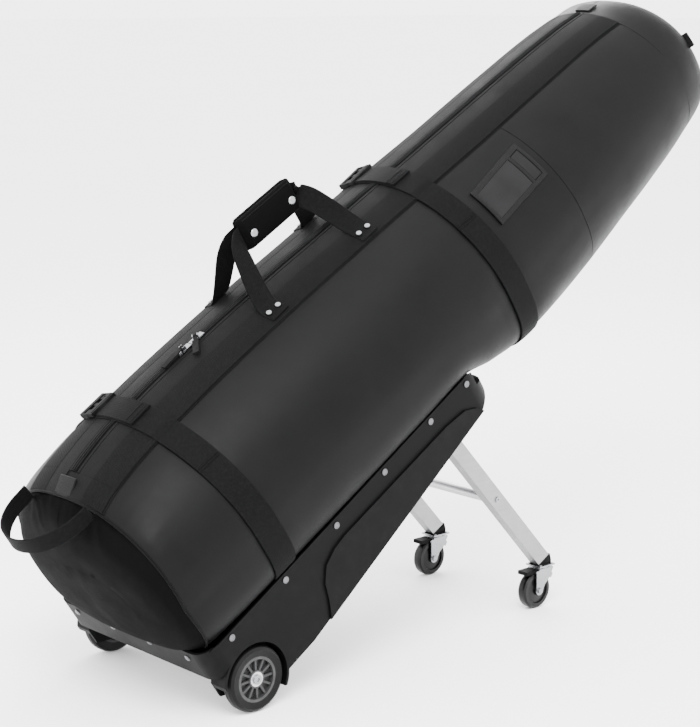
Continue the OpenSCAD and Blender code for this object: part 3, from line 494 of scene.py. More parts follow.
ALU = metal("satin_aluminium", (0.26, 0.26, 0.264), 0.46, brushed=((0, math.radians(-47.2), 0), (0.04, 1, 1)), scratch=0.25)
ZINC = metal("zinc_plate", (0.25, 0.254, 0.262), 0.28, scratch=0.15)
STEEL = metal("turned_steel", (0.5, 0.5, 0.52), 0.35, scratch=0.2)
RIVET = metal("dull_rivet", (0.11, 0.11, 0.115), 0.32, scratch=0.2)
BUSH = plastic("bush_plastic", (0.5, 0.5, 0.47), 0.45)
WINDOW, wnt, wb = new_mat("clear_vinyl")
wtc = N(wnt, "ShaderNodeTexCoord")
wn = N(wnt, "ShaderNodeTexNoise", Scale=22.0, Detail=3.0)
wnt.links.new(wtc.outputs["Object"], wn.inputs["Vector"])
wbp = N(wnt, "ShaderNodeBump", Strength=0.35, Distance=0.002)
wnt.links.new(wn.outputs["Fac"], wbp.inputs["Height"])
wnt.links.new(wbp.outputs[0], wb.inputs["Normal"])
wc = ramp(wnt, wn.outputs["Fac"], [(0.3, (0.0028, 0.0028, 0.003)), (0.7, (0.0050, 0.0050, 0.0054))])
wnt.links.new(wc, wb.inputs["Base Color"])
wb.inputs["Roughness"].default_value = 0.22
wb.inputs["Specular IOR Level"].default_value = 0.1
wb.inputs["Coat Weight"].default_value = 0.03
wb.inputs["Coat Roughness"].default_value = 0.08

PIECES = []


def done(ob, body, nodes=(), ride=True):
    if ride:
        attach(ob, body)
    nodes = [q for q in nodes if q in bpy.data.objects]
    if nodes:
        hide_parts(*nodes)
    PIECES.append(ob)
    return ob


# ---------------------------------------------------------------- the soft shell
TH = np.radians(np.linspace(90, -270, 1441))


def even_angles(u, t0, t1, n):
    """Angles from t0 down to t1 at even steps of girth, at u."""
    t = np.linspace(t0, t1, 700)
    y, v = yv(np.full_like(t, u), t)
    L = np.concatenate([[0], np.cumsum(np.hypot(np.diff(y), np.diff(v)))])
    return np.interp(np.linspace(0, L[-1], n), L, t)


def end_u(th):
    """Where the seam of the low end panel lies, round the girth."""
    s = np.sin(th)
    return np.where(s > 0, -22 - 14 * (1 - np.clip(s, 0, 1)) ** 1.2, -36 + 12 * np.clip(-s, 0, 1))


STRAPS = [(108, 151), (703, 746)]


def folds(u, th, y, v):
    """Outward movement in mm that gives the fabric its wrinkles and soft bulges; arrays of equal shape."""
    d = np.zeros_like(u)
    it = np.nditer([u, th, y, v], flags=["multi_index"])
    for uu, tt, yy, vv in it:
        uu, tt, yy, vv = float(uu), float(tt), float(yy), float(vv)
        side = 1 if yy > 0 else -1
        g = math.hypot(yy, vv - 180)
        a = tt * 190
        x = 0.9 * nz(uu / 260, a / 160, 3.1 * side) + 0.45 * nz(uu / 95 + 7, a / 70, 1.7 * side)
        # gathers that run away from the low end seam
        e = max(0.0, 1 - (uu + 30) / 130)
        x += 1.7 * e * e * nz(uu / 120, a / 17, 5.0)
        # gathers either side of the join at the upper section
        for c0, reach, amp in ((915, 90, 1.2), (915, -130, 1.0)):
            q = (uu - c0) / reach
            if 0 <= q < 1:
                x += amp * (1 - q) ** 2 * nz(uu / 160, a / 20, 9.0)
        # pull lines beside each strap
        for s0, s1 in STRAPS:
            m = abs(uu - (s0 + s1) / 2) - (s1 - s0) / 2
            if m < 0:
                x -= 1.6
            elif m < 70:
                x += -1.6 * math.exp(-m / 10) + 1.1 * math.exp(-m / 30) * nz(uu / 70, a / 32, 12.0)
        # long slack folds on the side above the tray
        if 170 < uu < 690:
            low = math.exp(-((vv - 150) / 70) ** 2)
            x += 1.2 * low * nz(uu / 130 + a / 300, a / 55, 2.0)
        d[it.multi_index] = x
    return d


def shell_part(name, urows, ncol, th_fun, mat, t, edge_u0, edge_u1, start_fun=None, wr=1.0, grooves=()):
    """Skin between the two seams, through the rows of u; th_fun gives the first angle at u."""
    M = len(urows)
    U = np.zeros((M, ncol)); A = np.zeros((M, ncol))
    for i, u in enumerate(urows):
        t0 = float(th_fun(u))
        A[i] = even_angles(max(-65.9, u), t0, -math.pi - t0, ncol)
        U[i] = u
    if start_fun is not None:
        w = smooth((60 - U) / 82)
        first = U[0, 0]
        U = U + (start_fun(A) - first) * smooth(1 - (U - first) / 120)
    y, v = yv(U, A)
    d = folds(U, A, y, v) * wr
    # seams stay put: fade folds out at the sewn edges and where the tray holds the fabric
    f = np.ones_like(d)
    jj = np.arange(ncol)
    edge = np.minimum(jj, ncol - 1 - jj)[None, :]
    f *= smooth(edge / 3.0)
    if edge_u0:
        f *= 0.25 + 0.75 * smooth((U - U[0]) / 25)
    if edge_u1:
        f *= 0.25 + 0.75 * smooth((U[-1] - U) / 25)
    intray = (v < 99) & (U < 612)
    f = np.where(intray, 0.0, f)
    f *= np.where(U < 620, smooth((v - 97) / 14), 1.0)
    d = d * f
    # every sewn edge lies in a small valley
    d -= 1.3 * np.exp(-edge / 1.1) * (v > 110)
    for g in grooves:
        d -= 1.6 * np.exp(-np.abs(U - g) / 4.0) * np.where((v < 101) & (U < 612), 0, 1)
    n2 = np.stack([np.cos(A) * 1.0, np.sin(A)], -1)
    yy, vv = y + n2[..., 0] * d, v + n2[..., 1] * d
    V = world(U, yy, vv)
    ob = slab(name, V, t, mat, flip=True)
    return ob, V


sim_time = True
rows_low = np.concatenate([np.linspace(-20, 100, 15), np.linspace(108, 151, 6), np.linspace(160, 690, 60), np.linspace(703, 746, 6), np.linspace(755, 914, 21)])
low, VL = shell_part("bag_lower_skin", rows_low, 150, lambda u: th_at(u, seam(u) + 0.4) if u > 15 else (th_at(u, seam(15) + 0.4)), NYLON, 0.0055, True, True, start_fun=end_u)
rows_up = np.concatenate([np.linspace(915.5, 1250, 44), np.linspace(1256, 1338, 26), [1339.5, 1341.2]])
up, VU = shell_part("bag_upper_skin", rows_up, 150, lambda u: th_at(u, seam(u) + 0.4) if u < 1250 else th_at(u, seam(1250) * float(np.clip((1345 - u) / 95, 0.05, 1)) ** 0.9 + 0.4), NYLON, 0.0055, True, False)
done(low, "case", ["bag_lower"])
done(up, "case", ["bag_upper"])


# top ends beyond the flaps, and the head cap
def face_patch(name, u0, u1, y0, y1, mat, t, lift, nu=10, ny=10, side=1, wob=0.0, ys_fun=None):
    us = np.linspace(u0, u1, nu)
    V = np.zeros((nu, ny, 3))
    for i, u in enumerate(us):
        a, b = (y0, y1) if ys_fun is None else ys_fun(u)
        ys = np.linspace(a, b, ny) * side
        vv = topv(np.full(ny, min(max(u, -65.9), 1341.9)), ys)
        if wob:
            vv = vv + np.array([wob * nz(u / 90, yy / 25, side) + 0.5 * wob * nz(u / 30, yy / 14, side + 4) for yy in ys])
        V[i] = world(np.full(ny, u), ys, vv)
    # outer face points away from the case whichever side it is on
    return slab(name, V, t, mat, flip=(side < 0), lift=lift)


us_cap = 0
end_top = face_patch("low_end_face", -21.5, 14.7, -92, 92, FACE, 0.005, 0.0, nu=9, ny=40)
done(end_top, "case")


def edge_strip(name, y0, y1, lift, t, mat, side, u0=15.6, u1=1249.4, nu=150, ny=6, wob=0.0):
    """A strip of the zipped face between two distances from the middle; y1 None is the seam."""
    return face_patch(name, u0, u1, 0, 0, mat, t, lift, nu=nu, ny=ny, side=side, wob=wob,
                      ys_fun=lambda u: (y0, (float(seam(u)) + (y1 if y1 is not None and y1 < 0 else 0)) if (y1 is None or y1 < 0) else y1))


# the face goes on past the flaps to the seam of the low end
for s, nm in ((-1, "near"), (1, "far")):
    stub = face_patch("band_stub_" + nm, -21, 15.1, 44, 89.6, BAND, 0.0014, 0.0016, nu=8, ny=8, side=s)
    done(stub, "case")
    lip = face_patch("lip_stub_" + nm, -21, 15.1, 13.4, 44.2, FACE, 0.0014, 0.0013, nu=8, ny=6, side=s)
    done(lip, "case")


# ---------------------------------------------------------------- closed ends
def closed_end(name, us, shrink, dome, mat, t, body, nodes, low=True, n=144, pucker=None, first=None, ucap=None, amp=1.0):
    """Rings from the sewn edge to the end, then in to the centre, as one skin."""
    A = np.linspace(math.pi / 2, math.pi / 2 - 2 * math.pi, n)
    rows = []
    for k, u in enumerate(us):
        U = np.full(n, float(u))
        if first is not None:
            f = smooth(1 - (k / (len(us) - 1)) * 1.25)
            U = U + (first(A) - us[0]) * f
        A2 = np.interp(np.linspace(0, 1, n), np.linspace(0, 1, n), A)
        y, v = yv(np.clip(U, -65.95, 1341.95), A2)
        d = np.zeros(n)
        for j in range(n):
            side = 1 if y[j] > 0 else -1
            d[j] = amp * (0.8 * nz(U[j] / 60, A2[j] * 1.3, 3) + 0.35 * nz(U[j] / 25, A2[j] * 4, 5))
            if pucker:
                d[j] += pucker(U[j], A2[j], y[j], v[j])
        rows.append(world(U, y + np.cos(A2) * d, v + np.sin(A2) * d))
    ue = float(us[-1])
    y, v = yv(np.full(n, float(np.clip(ue, -65.95, 1341.95))), A)
    vc = 0.5 * (v.max() + v.min())
    for q in shrink:
        uu = ue + dome * (1 - q**2)
        dd = np.array([amp * 1.2 * nz(math.cos(a) * q * 2.2, math.sin(a) * q * 2.2, 8.0) for a in A])
        if pucker:
            dd = dd + np.array([0.5 * pucker(ue - (1 - q) * 60 * (1 if low else -1), a, yy, v2) for a, yy, v2 in zip(A, y, v)]) * q
        rows.append(world(uu + dd * (-1 if low else 1), y * q, vc + (v - vc) * q))
    V = np.array(rows)
    ob = slab(name, V, t, mat, flip=not low)
    done(ob, body, nodes)
    return V


def gather(u, a, y, v):
    """Gathers in the low end, drawn in towards the two roots of the grab loop."""
    x = 0.0
    for side, amp in ((-1, 7.0), (1, 4.2)):
        root = np.arctan2(336 - 178, side * 78)
        da = (a - root + math.pi) % (2 * math.pi) - math.pi
        near = math.exp(-(da / 0.5) ** 2) * math.exp(-max(0.0, -20 - u) / 42)
        x += amp * near * (0.35 * nz(a * 15 + u / 46, u / 75, side) - 0.5 * abs(nz(a * 13 - u / 30, u / 60, side + 3)))
    x += 1.5 * math.exp(-max(0.0, -20 - u) / 14) * nz(a * 16, u / 40, 2.0)
    # folds that fan out from the loop's roots
    for side, amp in ((-1, 4.2), (1, 3.0)):
        far = math.sqrt((y - side * 80) ** 2 + (v - 326) ** 2 + 0.4 * (u + 24) ** 2)
        phi = math.atan2(v - 336, y - side * 80)
        x -= 1.35 * amp * math.exp(-far / 58) * smooth(far / 18) * abs(math.sin(phi * 4.6 + side + 1.1 * nz(y / 50, v / 50, side))) ** 0.7
    return x


# the end panel takes the darker nylon copy, whose colour is painted shade
closed_end("end_panel_skin", [-22, -25, -29, -33, -37, -41, -45, -49, -53, -56, -58.5, -60.5, -62.5, -64.2, -65.6],
           [0.985, 0.96, 0.92, 0.86, 0.78, 0.68, 0.56, 0.43, 0.3, 0.16, 0.02], -5.0, NYLON_PAINTED_SHADE, 0.005, "case", ["end_panel"], low=True,
           pucker=gather, first=end_u)
closed_end("head_skin", [1250.3, 1262, 1275, 1288, 1300, 1310, 1318, 1325, 1330.5, 1335, 1338.5, 1341.2],
           [0.98, 0.95, 0.9, 0.83, 0.73, 0.6, 0.46, 0.3, 0.15, 0.02], 4.0, NYLON, 0.005, "case", [], low=False)


# padded lining of the head end
def pad_cap():
    n = 72
    A = np.linspace(math.pi / 2, -1.5 * math.pi, n)
    rows = []
    for u, o in ((1262, -13), (1264, -8.5), (1270, -7), (1284, -7), (1300, -7), (1312, -7.4), (1320, -8.5), (1326, -12)):
        y, v = yv(np.full(n, float(u)), A, -6.5 + (o + 6.5))
        rows.append(world(np.full(n, float(u)), y, v))
    y, v = yv(np.full(n, 1326.0), A, -12.0)
    vc = 0.5 * (v.max() + v.min())
    for q in (0.9, 0.7, 0.45, 0.2, 0.02):
        rows.append(world(np.full(n, 1326.0 + 2.5 * (1 - q)), y * q, vc + (v - vc) * q))
    return slab("head_lining_pad", np.array(rows), 0.012, LINING, flip=True)


pc = pad_cap()
done(pc, "case", ["head_pad"])

# seams: bound cord round the low end and a stitched line at the upper section
A = np.linspace(math.pi / 2, -1.5 * math.pi, 260)[:-1]
ue = end_u(A) - 0.5
y, v = yv(ue, A, 1.0)
P = world(ue, y, v)
pipe = tube("end_piping", P, 0.0019, THREAD, seg=8, closed=True)
done(pipe, "case")


def seam_line(name, u, a0, a1, r, o, mat, n=160):
    A = np.linspace(a0, a1, n)
    y, v = yv(np.full(n, float(u)), A, o)
    return tube(name, world(np.full(n, float(u)), y, v), r, mat, seg=6)


t0 = float(th_at(915, 84))
sl = seam_line("section_seam", 915.2, t0, -math.pi - t0, 0.0011, -1.5, THREAD)
done(sl, "case")
for s, nm in ((-1, "near"), (1, "far")):
    us = np.linspace(-20, 1318, 240)
    yy = seam(us) * np.where(us > 1250, np.clip((1330 - us) / 80, 0.0, 1) ** 0.45, 1) * s
    yy = np.where(us > 1250, np.interp(us, [1250, 1290, 1318], [80.4 * s, 79 * s, 74 * s]), yy)
    yy = yy + s * 0.9
    vv = topv(us, yy) - 1.2
    k = us > 1246
    pl = tube("seam_cord_" + nm, world(us, yy, vv), 0.0010, THREAD, seg=6)
    done(pl, "case")


# ---------------------------------------------------------------- webbing laid on the case
def side_strap(name, u0, u1, side, y_in, v_low, o, t, mat, n=90, full=False):
    """Strap across one side of the case, from the edge of the zipped face down."""
    cols = 9
    us = np.linspace(u0, u1, cols)
    V = np.zeros((n, cols, 3))
    for j, u in enumerate(us):
        a0 = float(th_at(u, side * y_in(u)))
        A = np.linspace(a0, a0 + side * -1 * 3.3, 900) if side > 0 else np.linspace(a0, a0 + 3.3, 900)
        y, v = yv(np.full(900, u), A, o)
        if full:
            ok = (y * side > 0.4) | (v > 150)
        else:
            ok = v > v_low
        last = np.argmax(~ok) if (~ok).any() else 900
        A = A[:max(last, 5)]
        y, v = y[:len(A)], v[:len(A)]
        L = np.concatenate([[0], np.cumsum(np.hypot(np.diff(y), np.diff(v)))])
        q = np.interp(np.linspace(0, L[-1], n), L, A)
        s = np.linspace(0, L[-1], n)
        wave = np.array([0.5 * nz(ss / 60, u / 90, u0 / 10) for ss in s])
        y, v = yv(np.full(n, u), q, o)
        y, v = y + np.cos(q) * wave, v + np.sin(q) * wave
        V[:, j] = world(np.full(n, u), y, v)
    return slab(name, V, t, mat, flip=(side < 0))


for s, nm in ((-1, "near"), (1, "far")):
    nodes = ["straps_%s_side" % nm]
    a = side_strap("strap_low_%s" % nm, 108, 151, s, lambda u: seam(u) - 0.2, 99.2, 1.9, 0.0021, WEB)
    b = side_strap("strap_high_%s" % nm, 703, 746, s, lambda u: seam(u) - 0.2, 0, 1.9, 0.0021, WEB, n=120, full=True)
    done(a, "case", nodes)
    done(b, "case")
    # stitched overlap part-way down each strap
    for u0, q in ((108, a), (703, b)):
        st_u = np.linspace(u0 + 1.5, u0 + 41.5, 12)
        for dz in (0.0, 3.0):
            A = []
            for u in st_u:
                yy = s * (seam(u) + 62 + dz)
                A.append(float(th_at(u, yy)))
            y, v = yv(st_u, np.array(A), 2.5)
            th = tube("strap_stitch_%s_%d_%d" % (nm, u0, int(dz)), world(st_u, y, v), 0.0006, THREAD, seg=6)
            done(th, "case")


# ---------------------------------------------------------------- the two flaps
FL = {}
for s, nm in ((-1, "near"), (1, "far")):
    body = "flap_" + nm
    f = edge_strip("flap_%s_cloth" % nm, 0.7, -0.3, 0.0, 0.0048, FACE, s, ny=26, wob=0.5)
    done(f, body, ["flap_" + nm])
    b = edge_strip("band_%s_webbing" % nm, 44.0, -1.2, 0.0016, 0.0014, BAND, s, u0=15.3, ny=10)
    done(b, body, ["band_" + nm])
    l2 = edge_strip("face_%s_strip" % nm, 13.2, 44.6, 0.0013, 0.0014, FACE, s, u0=15.3, ny=8)
    done(l2, body)
    l1 = edge_strip("zip_%s_lip" % nm, 7.6, 11.4, 0.0017, 0.0017, FACE, s, u0=15.3, ny=5)
    done(l1, body)
    tp = edge_strip("zip_%s_tape" % nm, 0.35, 13.6, 0.0006, 0.0007, TAPE, s, u0=15.3, ny=7)
    done(tp, body, ["zip_" + nm])
    n = 2600
    us = np.linspace(16, 1249, n)
    yc = np.full(n, s * 2.3)
    P = world(us, yc, topv(us, yc) + 1.3)
    coil = tube("zip_%s_coil" % nm, P, 0.0017 + 0.00045 * np.sin(np.arange(n) * (2 * math.pi / (4 if n > 2000 else 2)) + (0 if s < 0 else 2)), COIL, seg=8)
    done(coil, body)

# strap tops on the near flap, their folded ends, and the tails on the far flap
def top_strap(name, u0, u1, ya, yb, lift_fun, t, mat, side_n=60, curl=0.0, droop=0.0):
    ys = np.linspace(ya, yb, side_n)
    us = np.linspace(u0, u1, 9)
    V = np.zeros((side_n, 9, 3))
    for i, yy in enumerate(ys):
        f = i / (side_n - 1)
        for j, u in enumerate(us):
            o = lift_fun(f, yy) + curl * ((j / 4 - 1) ** 2) + droop * nz(u / 40, yy / 40, u0)
            h = topv(u, yy)
            sl_ = float((topv(u, yy + 2) - topv(u, yy - 2)) / 4)
            nl_ = math.hypot(1, sl_)
            V[i, j] = world(u, yy - o * sl_ / nl_, h + o / nl_)
    return slab(name, V, t, mat, flip=True)


for k, (u0, u1) in enumerate(STRAPS):
    sm = float(seam(u0))
    nm = "low" if k == 0 else "high"
    tps = top_strap("strap_top_" + nm, u0, u1, -sm + 0.2, 49.0, lambda f, y: 1.9 + 2.3 * float(smooth(f * 12)), 0.0021, WEB)
    done(tps, "flap_near", ["strap_tops_near"] if k == 0 else [])
    le = top_strap("strap_loose_end_" + nm, u0 + 1.5, u1 - 1.5, -42.0, 46.0, lambda f, y: 6.3 + 0.5 * float(smooth(1 - f * 5)), 0.0021, WEB, droop=0.25)
    done(le, "flap_near")
    # the turned and sewn end of the loose strap
    hem = top_strap("strap_hem_" + nm, u0 + 1.7, u1 - 1.7, -41.6, -27.0, lambda f, y: 8.0, 0.0017, WEB, side_n=14)
    done(hem, "flap_near")
    for yy in (-38.5, -29.5):
        us = np.linspace(u0 + 3, u1 - 3, 16)
        tb = tube("hem_stitch_%s_%d" % (nm, int(-yy)), world(us, np.full(16, yy), topv(us, np.full(16, yy)) + 8.3), 0.0005, THREAD, seg=6)
        done(tb, "flap_near")
    tl = top_strap("strap_tail_" + nm, u0, u1, 66.0, float(seam(u0)) - 0.6, lambda f, y: 3.4, 0.002, WEB, side_n=12)
    done(tl, "flap_far", ["strap_tails"] if k == 0 else [])


# ---------------------------------------------------------------- webbing shapes off the surface
def dirw(d):
    d = np.asarray(d, float)
    return np.stack([d[..., 0] * CT - d[..., 2] * STn, d[..., 1], d[..., 0] * STn + d[..., 2] * CT], -1)


def ribbon_piece(name, pts, dirs, w, t, mat, n=90, cols=7, flip=False, cup=0.0):
    PW = spline(np.concatenate([np.asarray(pts, float), np.asarray(dirs, float)], 1), n)
    P = world(PW[:, 0], PW[:, 1], PW[:, 2])
    W = dirw(PW[:, 3:6])
    G = ribbon_grid(P, W, w / 1000, cols)
    return slab(name, G, t / 1000, mat, flip=flip, lift=t / 2000)


ang = [180 * i / 16 for i in range(17)]
gp = [(-42 - 76 * math.sin(math.radians(a)), 76 * math.cos(math.radians(a)), 336) for a in ang]
gp = [(-30, 76.5, 337)] + gp + [(-30, -76.5, 337)]
gd = [(0.02 * math.sin(i), 0, 1) for i in range(19)]
gl = ribbon_piece("grab_loop_webbing", gp, gd, 25, 2.4, WEB, n=80)
done(gl, "case", ["grab_loop"])
ht = ribbon_piece("head_tab_webbing", [(1312 + t * 0.72, -126 - 0.66 * t, 198 + 0.2 * t) for t in (4, 12, 20, 26)], [(0.42, 0.64, 0.6)] * 4, 26, 4.4, WEB, n=16)
done(ht, "case", ["head_tab"])


def tab(name, u, rot, x0, lx, hy, th, mat, up, nodes):
    """Small bound tab over the end of the zip, folded and sewn."""
    c, s = math.cos(math.radians(rot)), math.sin(math.radians(rot))
    base = float(topv(u, 0)) + up
    V = np.zeros((12, 11, 3))
    for i, a in enumerate(np.linspace(0, 1, 12)):
        for j, b in enumerate(np.linspace(-1, 1, 11)):
            x = x0 + a * lx
            z = th * (1 - 0.25 * b * b) + 0.5 * math.sin(a * 3.1)
            V[i, j] = world(u + x * c + z * s, b * hy, base - x * s + z * c)
    ob = slab(name, V, (th + 0.4) / 1000, mat)
    return done(ob, "case", nodes)


V = np.zeros((14, 13, 3))
for i, a in enumerate(np.linspace(0, 1, 14)):
    for j, b_ in enumerate(np.linspace(-1, 1, 13)):
        uu = -21.5 + 24 * a
        V[i, j] = world(uu, 18.5 * b_, float(topv(uu, 18.5 * b_)) + 1.2 + 5.2 * a**1.5)
lt = slab("zip_end_tab_low", V, 0.0026, BINDING)
done(lt, "case", ["zip_end_tabs"])
tab("zip_end_tab_high", 1258, 7, 0, 22, 15, 2.4, BINDING, 0.4, [])

# carry handle: a webbing loop on each flap
hu0, hu1 = 390, 597


def tv(u, y):
    return float(topv(u, y))


def loop_pts(s):
    return [[hu0, s * 82, tv(hu0, 82) + 3.6], [hu0, s * 60, tv(hu0, 60) + 3.9], [hu0 + 5, s * 46, tv(hu0, 46) + 17],
            [hu0 + 14, s * 33, 401], [hu0 + 26, s * 19, 429], [hu0 + 38, s * 8.5, 443], [444, s * 3.6, 446.5],
            [500, s * 3.6, 444], [556, s * 3.6, 441.5], [hu1 - 38, s * 8.5, 437], [hu1 - 26, s * 19, 421], [hu1 - 14, s * 33, 392],
            [hu1 - 5, s * 46, tv(hu1, 46) + 17], [hu1, s * 60, tv(hu1, 60) + 3.9], [hu1, s * 82, tv(hu1, 82) + 3.6]]


LD = [[1, 0, 0], [1, 0, 0], [1, 0, -0.15], [1, 0, -0.4], [1, 0, -0.9], [0.3, 0, -1], [0, 0, -1], [0, 0, -1], [0, 0, -1],
      [-0.3, 0, -1], [-1, 0, -0.9], [-1, 0, -0.4], [-1, 0, -0.15], [-1, 0, 0], [-1, 0, 0]]
for s, nm in ((-1, "near"), (1, "far")):
    h = ribbon_piece("handle_%s_webbing" % nm, loop_pts(s), LD, 34, 2.6, WEB, n=150, cols=9, flip=(s > 0))
    done(h, "flap_" + nm, ["handle_" + nm])

# padded wrap: two halves that snap together round the top run
SEC = spline(np.array([[0.6, -26.0], [4, -26.6], [9, -24.5], [13.2, -16], [14.8, 0], [13.2, 16], [9, 24.5], [4, 26.6], [0.6, 26.0]]), 33)
wr = math.radians(2.58)
for s, nm in ((-1, "near"), (1, "far")):
    M = 44
    V = np.zeros((M, len(SEC), 3)); B = np.zeros_like(V)
    for i, a in enumerate(np.linspace(-1, 1, M)):
        x = 59 * a
        e = 1 - 0.55 * smooth((abs(x) - 51) / 8)
        for j, (yy, zz) in enumerate(SEC):
            # a rim pressed flat near each end of the padding; the term for sewn channels across it is multiplied by 0,
            # so none are made
            q = 1 - 0.10 * math.exp(-(((x + 20) % 40 - 20) / 3.0) ** 2 * 0 - ((abs(x) - 47) / 2.2) ** 2)
            y2 = 0.6 + (yy - 0.6) * e * q
            z2 = zz * (1 - 0.04 * smooth((abs(x) - 49) / 10)) + 0.3 * nz(x / 18, zz / 12, s)
            y2 += 0.5 * nz(x / 22, zz / 14, s + 4) * min(1, max(0, (yy - 2) / 6))
            p = (500 + x * math.cos(wr) + z2 * math.sin(wr), s * y2, 444 - x * math.sin(wr) + z2 * math.cos(wr))
            V[i, j] = world(*p)
            pb = (500 + x * math.cos(wr) + z2 * math.sin(wr) * 0.97, s * 0.4, 444 - x * math.sin(wr) + z2 * math.cos(wr))
            B[i, j] = world(*pb)
    ob = slab("handle_wrap_%s_pad" % nm, V, 0.001, NYLON_PAINTED_SHADE, flip=False, back=B, round_edge=False)
    done(ob, "flap_" + nm, ["handle_wrap_" + nm])
    for z0 in (-23.3, 23.3):
        xs = np.linspace(-51, 51, 40)
        pts = world(500 + xs * math.cos(wr) + z0 * math.sin(wr), np.full(40, s * 10.1), 444 - xs * math.sin(wr) + z0 * math.cos(wr))
        done(tube("wrap_edge_%s_%d" % (nm, z0 > 0), pts, 0.0008, THREAD, seg=6), "flap_" + nm)
    if s < 0:
        for x0 in (-43, 43):
            c = np.array(world(500 + x0 * math.cos(wr) - 3 * math.sin(wr), s * 14.4, 444 - x0 * math.sin(wr) - 3 * math.cos(wr)))
            bm = bmesh.new()
            bmesh.ops.create_uvsphere(bm, u_segments=24, v_segments=12, radius=0.0072)
            for q in bm.verts:
                q.co.y *= 0.42
                if q.co.length > 0:
                    r = math.hypot(q.co.x, q.co.z)
                    if r < 0.0026:
                        q.co.y *= 0.75
            me = bpy.data.meshes.new("snap")
            bm.to_mesh(me); bm.free()
            o = bpy.data.objects.new("wrap_snap_%d" % (x0 > 0), me)
            bpy.context.scene.collection.objects.link(o)
            me.transform(Matrix.Translation(Vector(c)))
            me.materials.append(ZINC)
            me.polygons.foreach_set("use_smooth", [True] * len(me.polygons))
            done(o, "flap_near")


# ---------------------------------------------------------------- name card pocket
def side_y(u, v):
    vt, w, vm, vb, nu, nl = row(u)
    up = v >= vm
    n_ = np.where(up, nu, nl)
    h_ = np.where(up, vt - vm, vm - vb)
    return w * np.clip(1 - (np.abs(v - vm) / h_) ** n_, 0, 1) ** (1 / n_)


def side_patch(name, u0, u1, v0, v1, lift, t, mat, nu=14, nv=10, bulge=0.0):
    V = np.zeros((nu, nv, 3))
    for i, u in enumerate(np.linspace(u0, u1, nu)):
        for j, v in enumerate(np.linspace(v0, v1, nv)):
            b = bulge * math.sin(math.pi * i / (nu - 1)) * math.sin(math.pi * j / (nv - 1))
            yy = float(side_y(u, v))
            dy = float(side_y(u, v + 1) - side_y(u, v - 1)) / 2
            nn = math.hypot(1, dy)
            o = lift + b
            V[i, j] = world(u, -(yy + o / nn), v - o * dy / nn)
    return slab(name, V, t, mat, flip=False)


ip = side_patch("pocket_base", 768, 900, 236, 292, 1.5, 0.0012, NYLON_PAINTED_SHADE, nu=34, nv=14)
done(ip, "case", ["id_pocket"])
for nm, a in (("low", (768.2, 775.5, 236.4, 291.6)), ("mid", (866.5, 872.5, 236.4, 291.6)), ("high", (893.5, 899.8, 236.4, 291.6)),
              ("under", (768.2, 899.8, 236.2, 242.5)), ("over", (768.2, 899.8, 285.5, 291.8))):
    long_ = nm in ("under", "over")
    p = side_patch("pocket_binding_" + nm, a[0], a[1], a[2], a[3], 3.1 if long_ else 2.9, 0.0018, BINDING, nu=34 if long_ else 5, nv=5 if long_ else 14, bulge=0.5)
    done(p, "case")
pp = side_patch("pocket_panel", 873.5, 892.5, 243.5, 284.5, 2.3, 0.0008, PATCH, nu=10, nv=12, bulge=0.9)
done(pp, "case")
wn_ = side_patch("pocket_window", 774.5, 867.5, 241.5, 286.5, 1.9, 0.0005, WINDOW, nu=20, nv=12, bulge=0.7)
done(wn_, "case", ["id_window"])

# ---------------------------------------------------------------- finishes of the machined and moulded parts
FIN = {
    "base_tray": TRAY, "tray_rivets": RIVET, "axle_rod": STEEL, "axle_bolts": ZINC, "axle_spacers": STEEL, "pivot_brackets": ALU,
    "pivot_shaft": STEEL, "shaft_retainers": STEEL, "stop_blocks": BLACKP, "fold_clips": BLACKP, "friction_washers": STEEL,
    "leg_near": ALU, "leg_far": ALU, "leg_cross_tube": STEEL, "leg_bushes": BUSH, "leg_screws": ZINC, "foot_wedges": BLACKP,
    "caster_plates": ZINC, "buckles_male": BLACKP, "buckles_female": BLACKP, "handle_rivets_near": ZINC, "handle_rivets_far": ZINC,
    "slider_low": ZINC, "slider_high": ZINC, "pull_low": BLACKP, "pull_high": BLACKP,
}
for q in ("near", "far"):
    FIN["wheel_%s_tyre" % q] = TYRE
    FIN["wheel_%s_hub" % q] = HUB
    FIN["wheel_%s_bearings" % q] = STEEL
    FIN["caster_%s_fork" % q] = ZINC
    FIN["caster_%s_axle" % q] = ZINC
    FIN["caster_%s_wheel" % q] = CASTER_R
    FIN["caster_%s_brake" % q] = BLACKP
for node, mat in FIN.items():
    ob = bpy.data.objects.get(node)
    if ob is None:
        continue
    ob.data.materials.clear()
    ob.data.materials.append(mat)

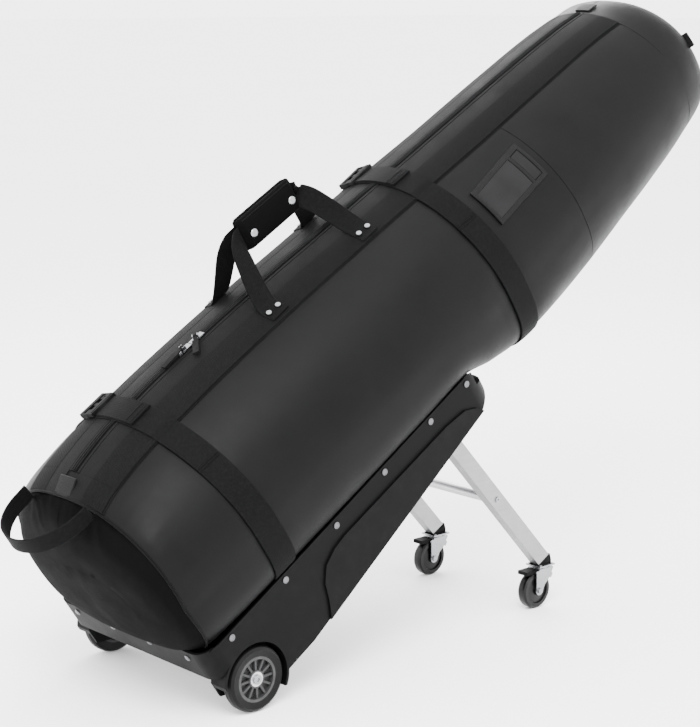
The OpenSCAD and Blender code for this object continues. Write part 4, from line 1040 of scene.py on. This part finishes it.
# ---------------------------------------------------------------- floor, light and camera
fm, fnt, fb = new_mat("pale_floor")
ftc = N(fnt, "ShaderNodeTexCoord")
fn = N(fnt, "ShaderNodeTexNoise", Scale=0.6, Detail=2.0)
fnt.links.new(ftc.outputs["Object"], fn.inputs["Vector"])
fc = ramp(fnt, fn.outputs["Fac"], [(0.3, (0.93, 0.93, 0.93)), (0.7, (0.95, 0.95, 0.95))])
fnt.links.new(fc, fb.inputs["Base Color"])
fb.inputs["Roughness"].default_value = 0.9
fb.inputs["Specular IOR Level"].default_value = 0.1
me = bpy.data.meshes.new("floor")
S = 60.0
me.from_pydata([(-S, -S, 0), (S, -S, 0), (S, S, 0), (-S, S, 0)], [], [(0, 1, 2, 3)])
floor = bpy.data.objects.new("floor", me)
bpy.context.scene.collection.objects.link(floor)
me.materials.append(fm)

wd = bpy.context.scene.world or bpy.data.worlds.new("world")
bpy.context.scene.world = wd
wd.use_nodes = True
bg = wd.node_tree.nodes.get("Background") or wd.node_tree.nodes.new("ShaderNodeBackground")
bg.inputs[0].default_value = (1.0, 1.0, 1.0, 1)
bg.inputs[1].default_value = 4.6


def area(name, loc, target, size, power, sy=None):
    l = bpy.data.lights.new(name, "AREA")
    l.energy = power
    l.size = size
    if sy:
        l.shape = "RECTANGLE"
        l.size_y = sy
    o = bpy.data.objects.new(name, l)
    o.location = loc
    o.rotation_mode = "QUATERNION"
    o.rotation_quaternion = (Vector(target) - Vector(loc)).to_track_quat("-Z", "Y")
    bpy.context.scene.collection.objects.link(o)
    return o


area("key", (-1.7, -1.7, 3.0), (0.1, 0, 0.6), 1.6, 260)
area("rim", (1.8, 1.9, 2.4), (0, 0, 0.5), 1.4, 60)

f = Vector((math.sin(math.radians(42.13)) * math.cos(math.radians(11.05)), math.cos(math.radians(42.13)) * math.cos(math.radians(11.05)), -math.sin(math.radians(11.05))))
r = Vector((math.cos(math.radians(42.13)), -math.sin(math.radians(42.13)), 0))
up = r.cross(f)
cd = bpy.data.cameras.new("camera")
cam = bpy.data.objects.new("camera", cd)
bpy.context.scene.collection.objects.link(cam)
cd.lens = 94.23
cd.sensor_width = 36
cd.clip_end = 100
R = Matrix((r, up, -f)).transposed()
cam.matrix_world = Matrix.Translation(Vector((-2.0474, -2.2097, 1.0244))) @ R.to_4x4()
bpy.context.scene.camera = cam
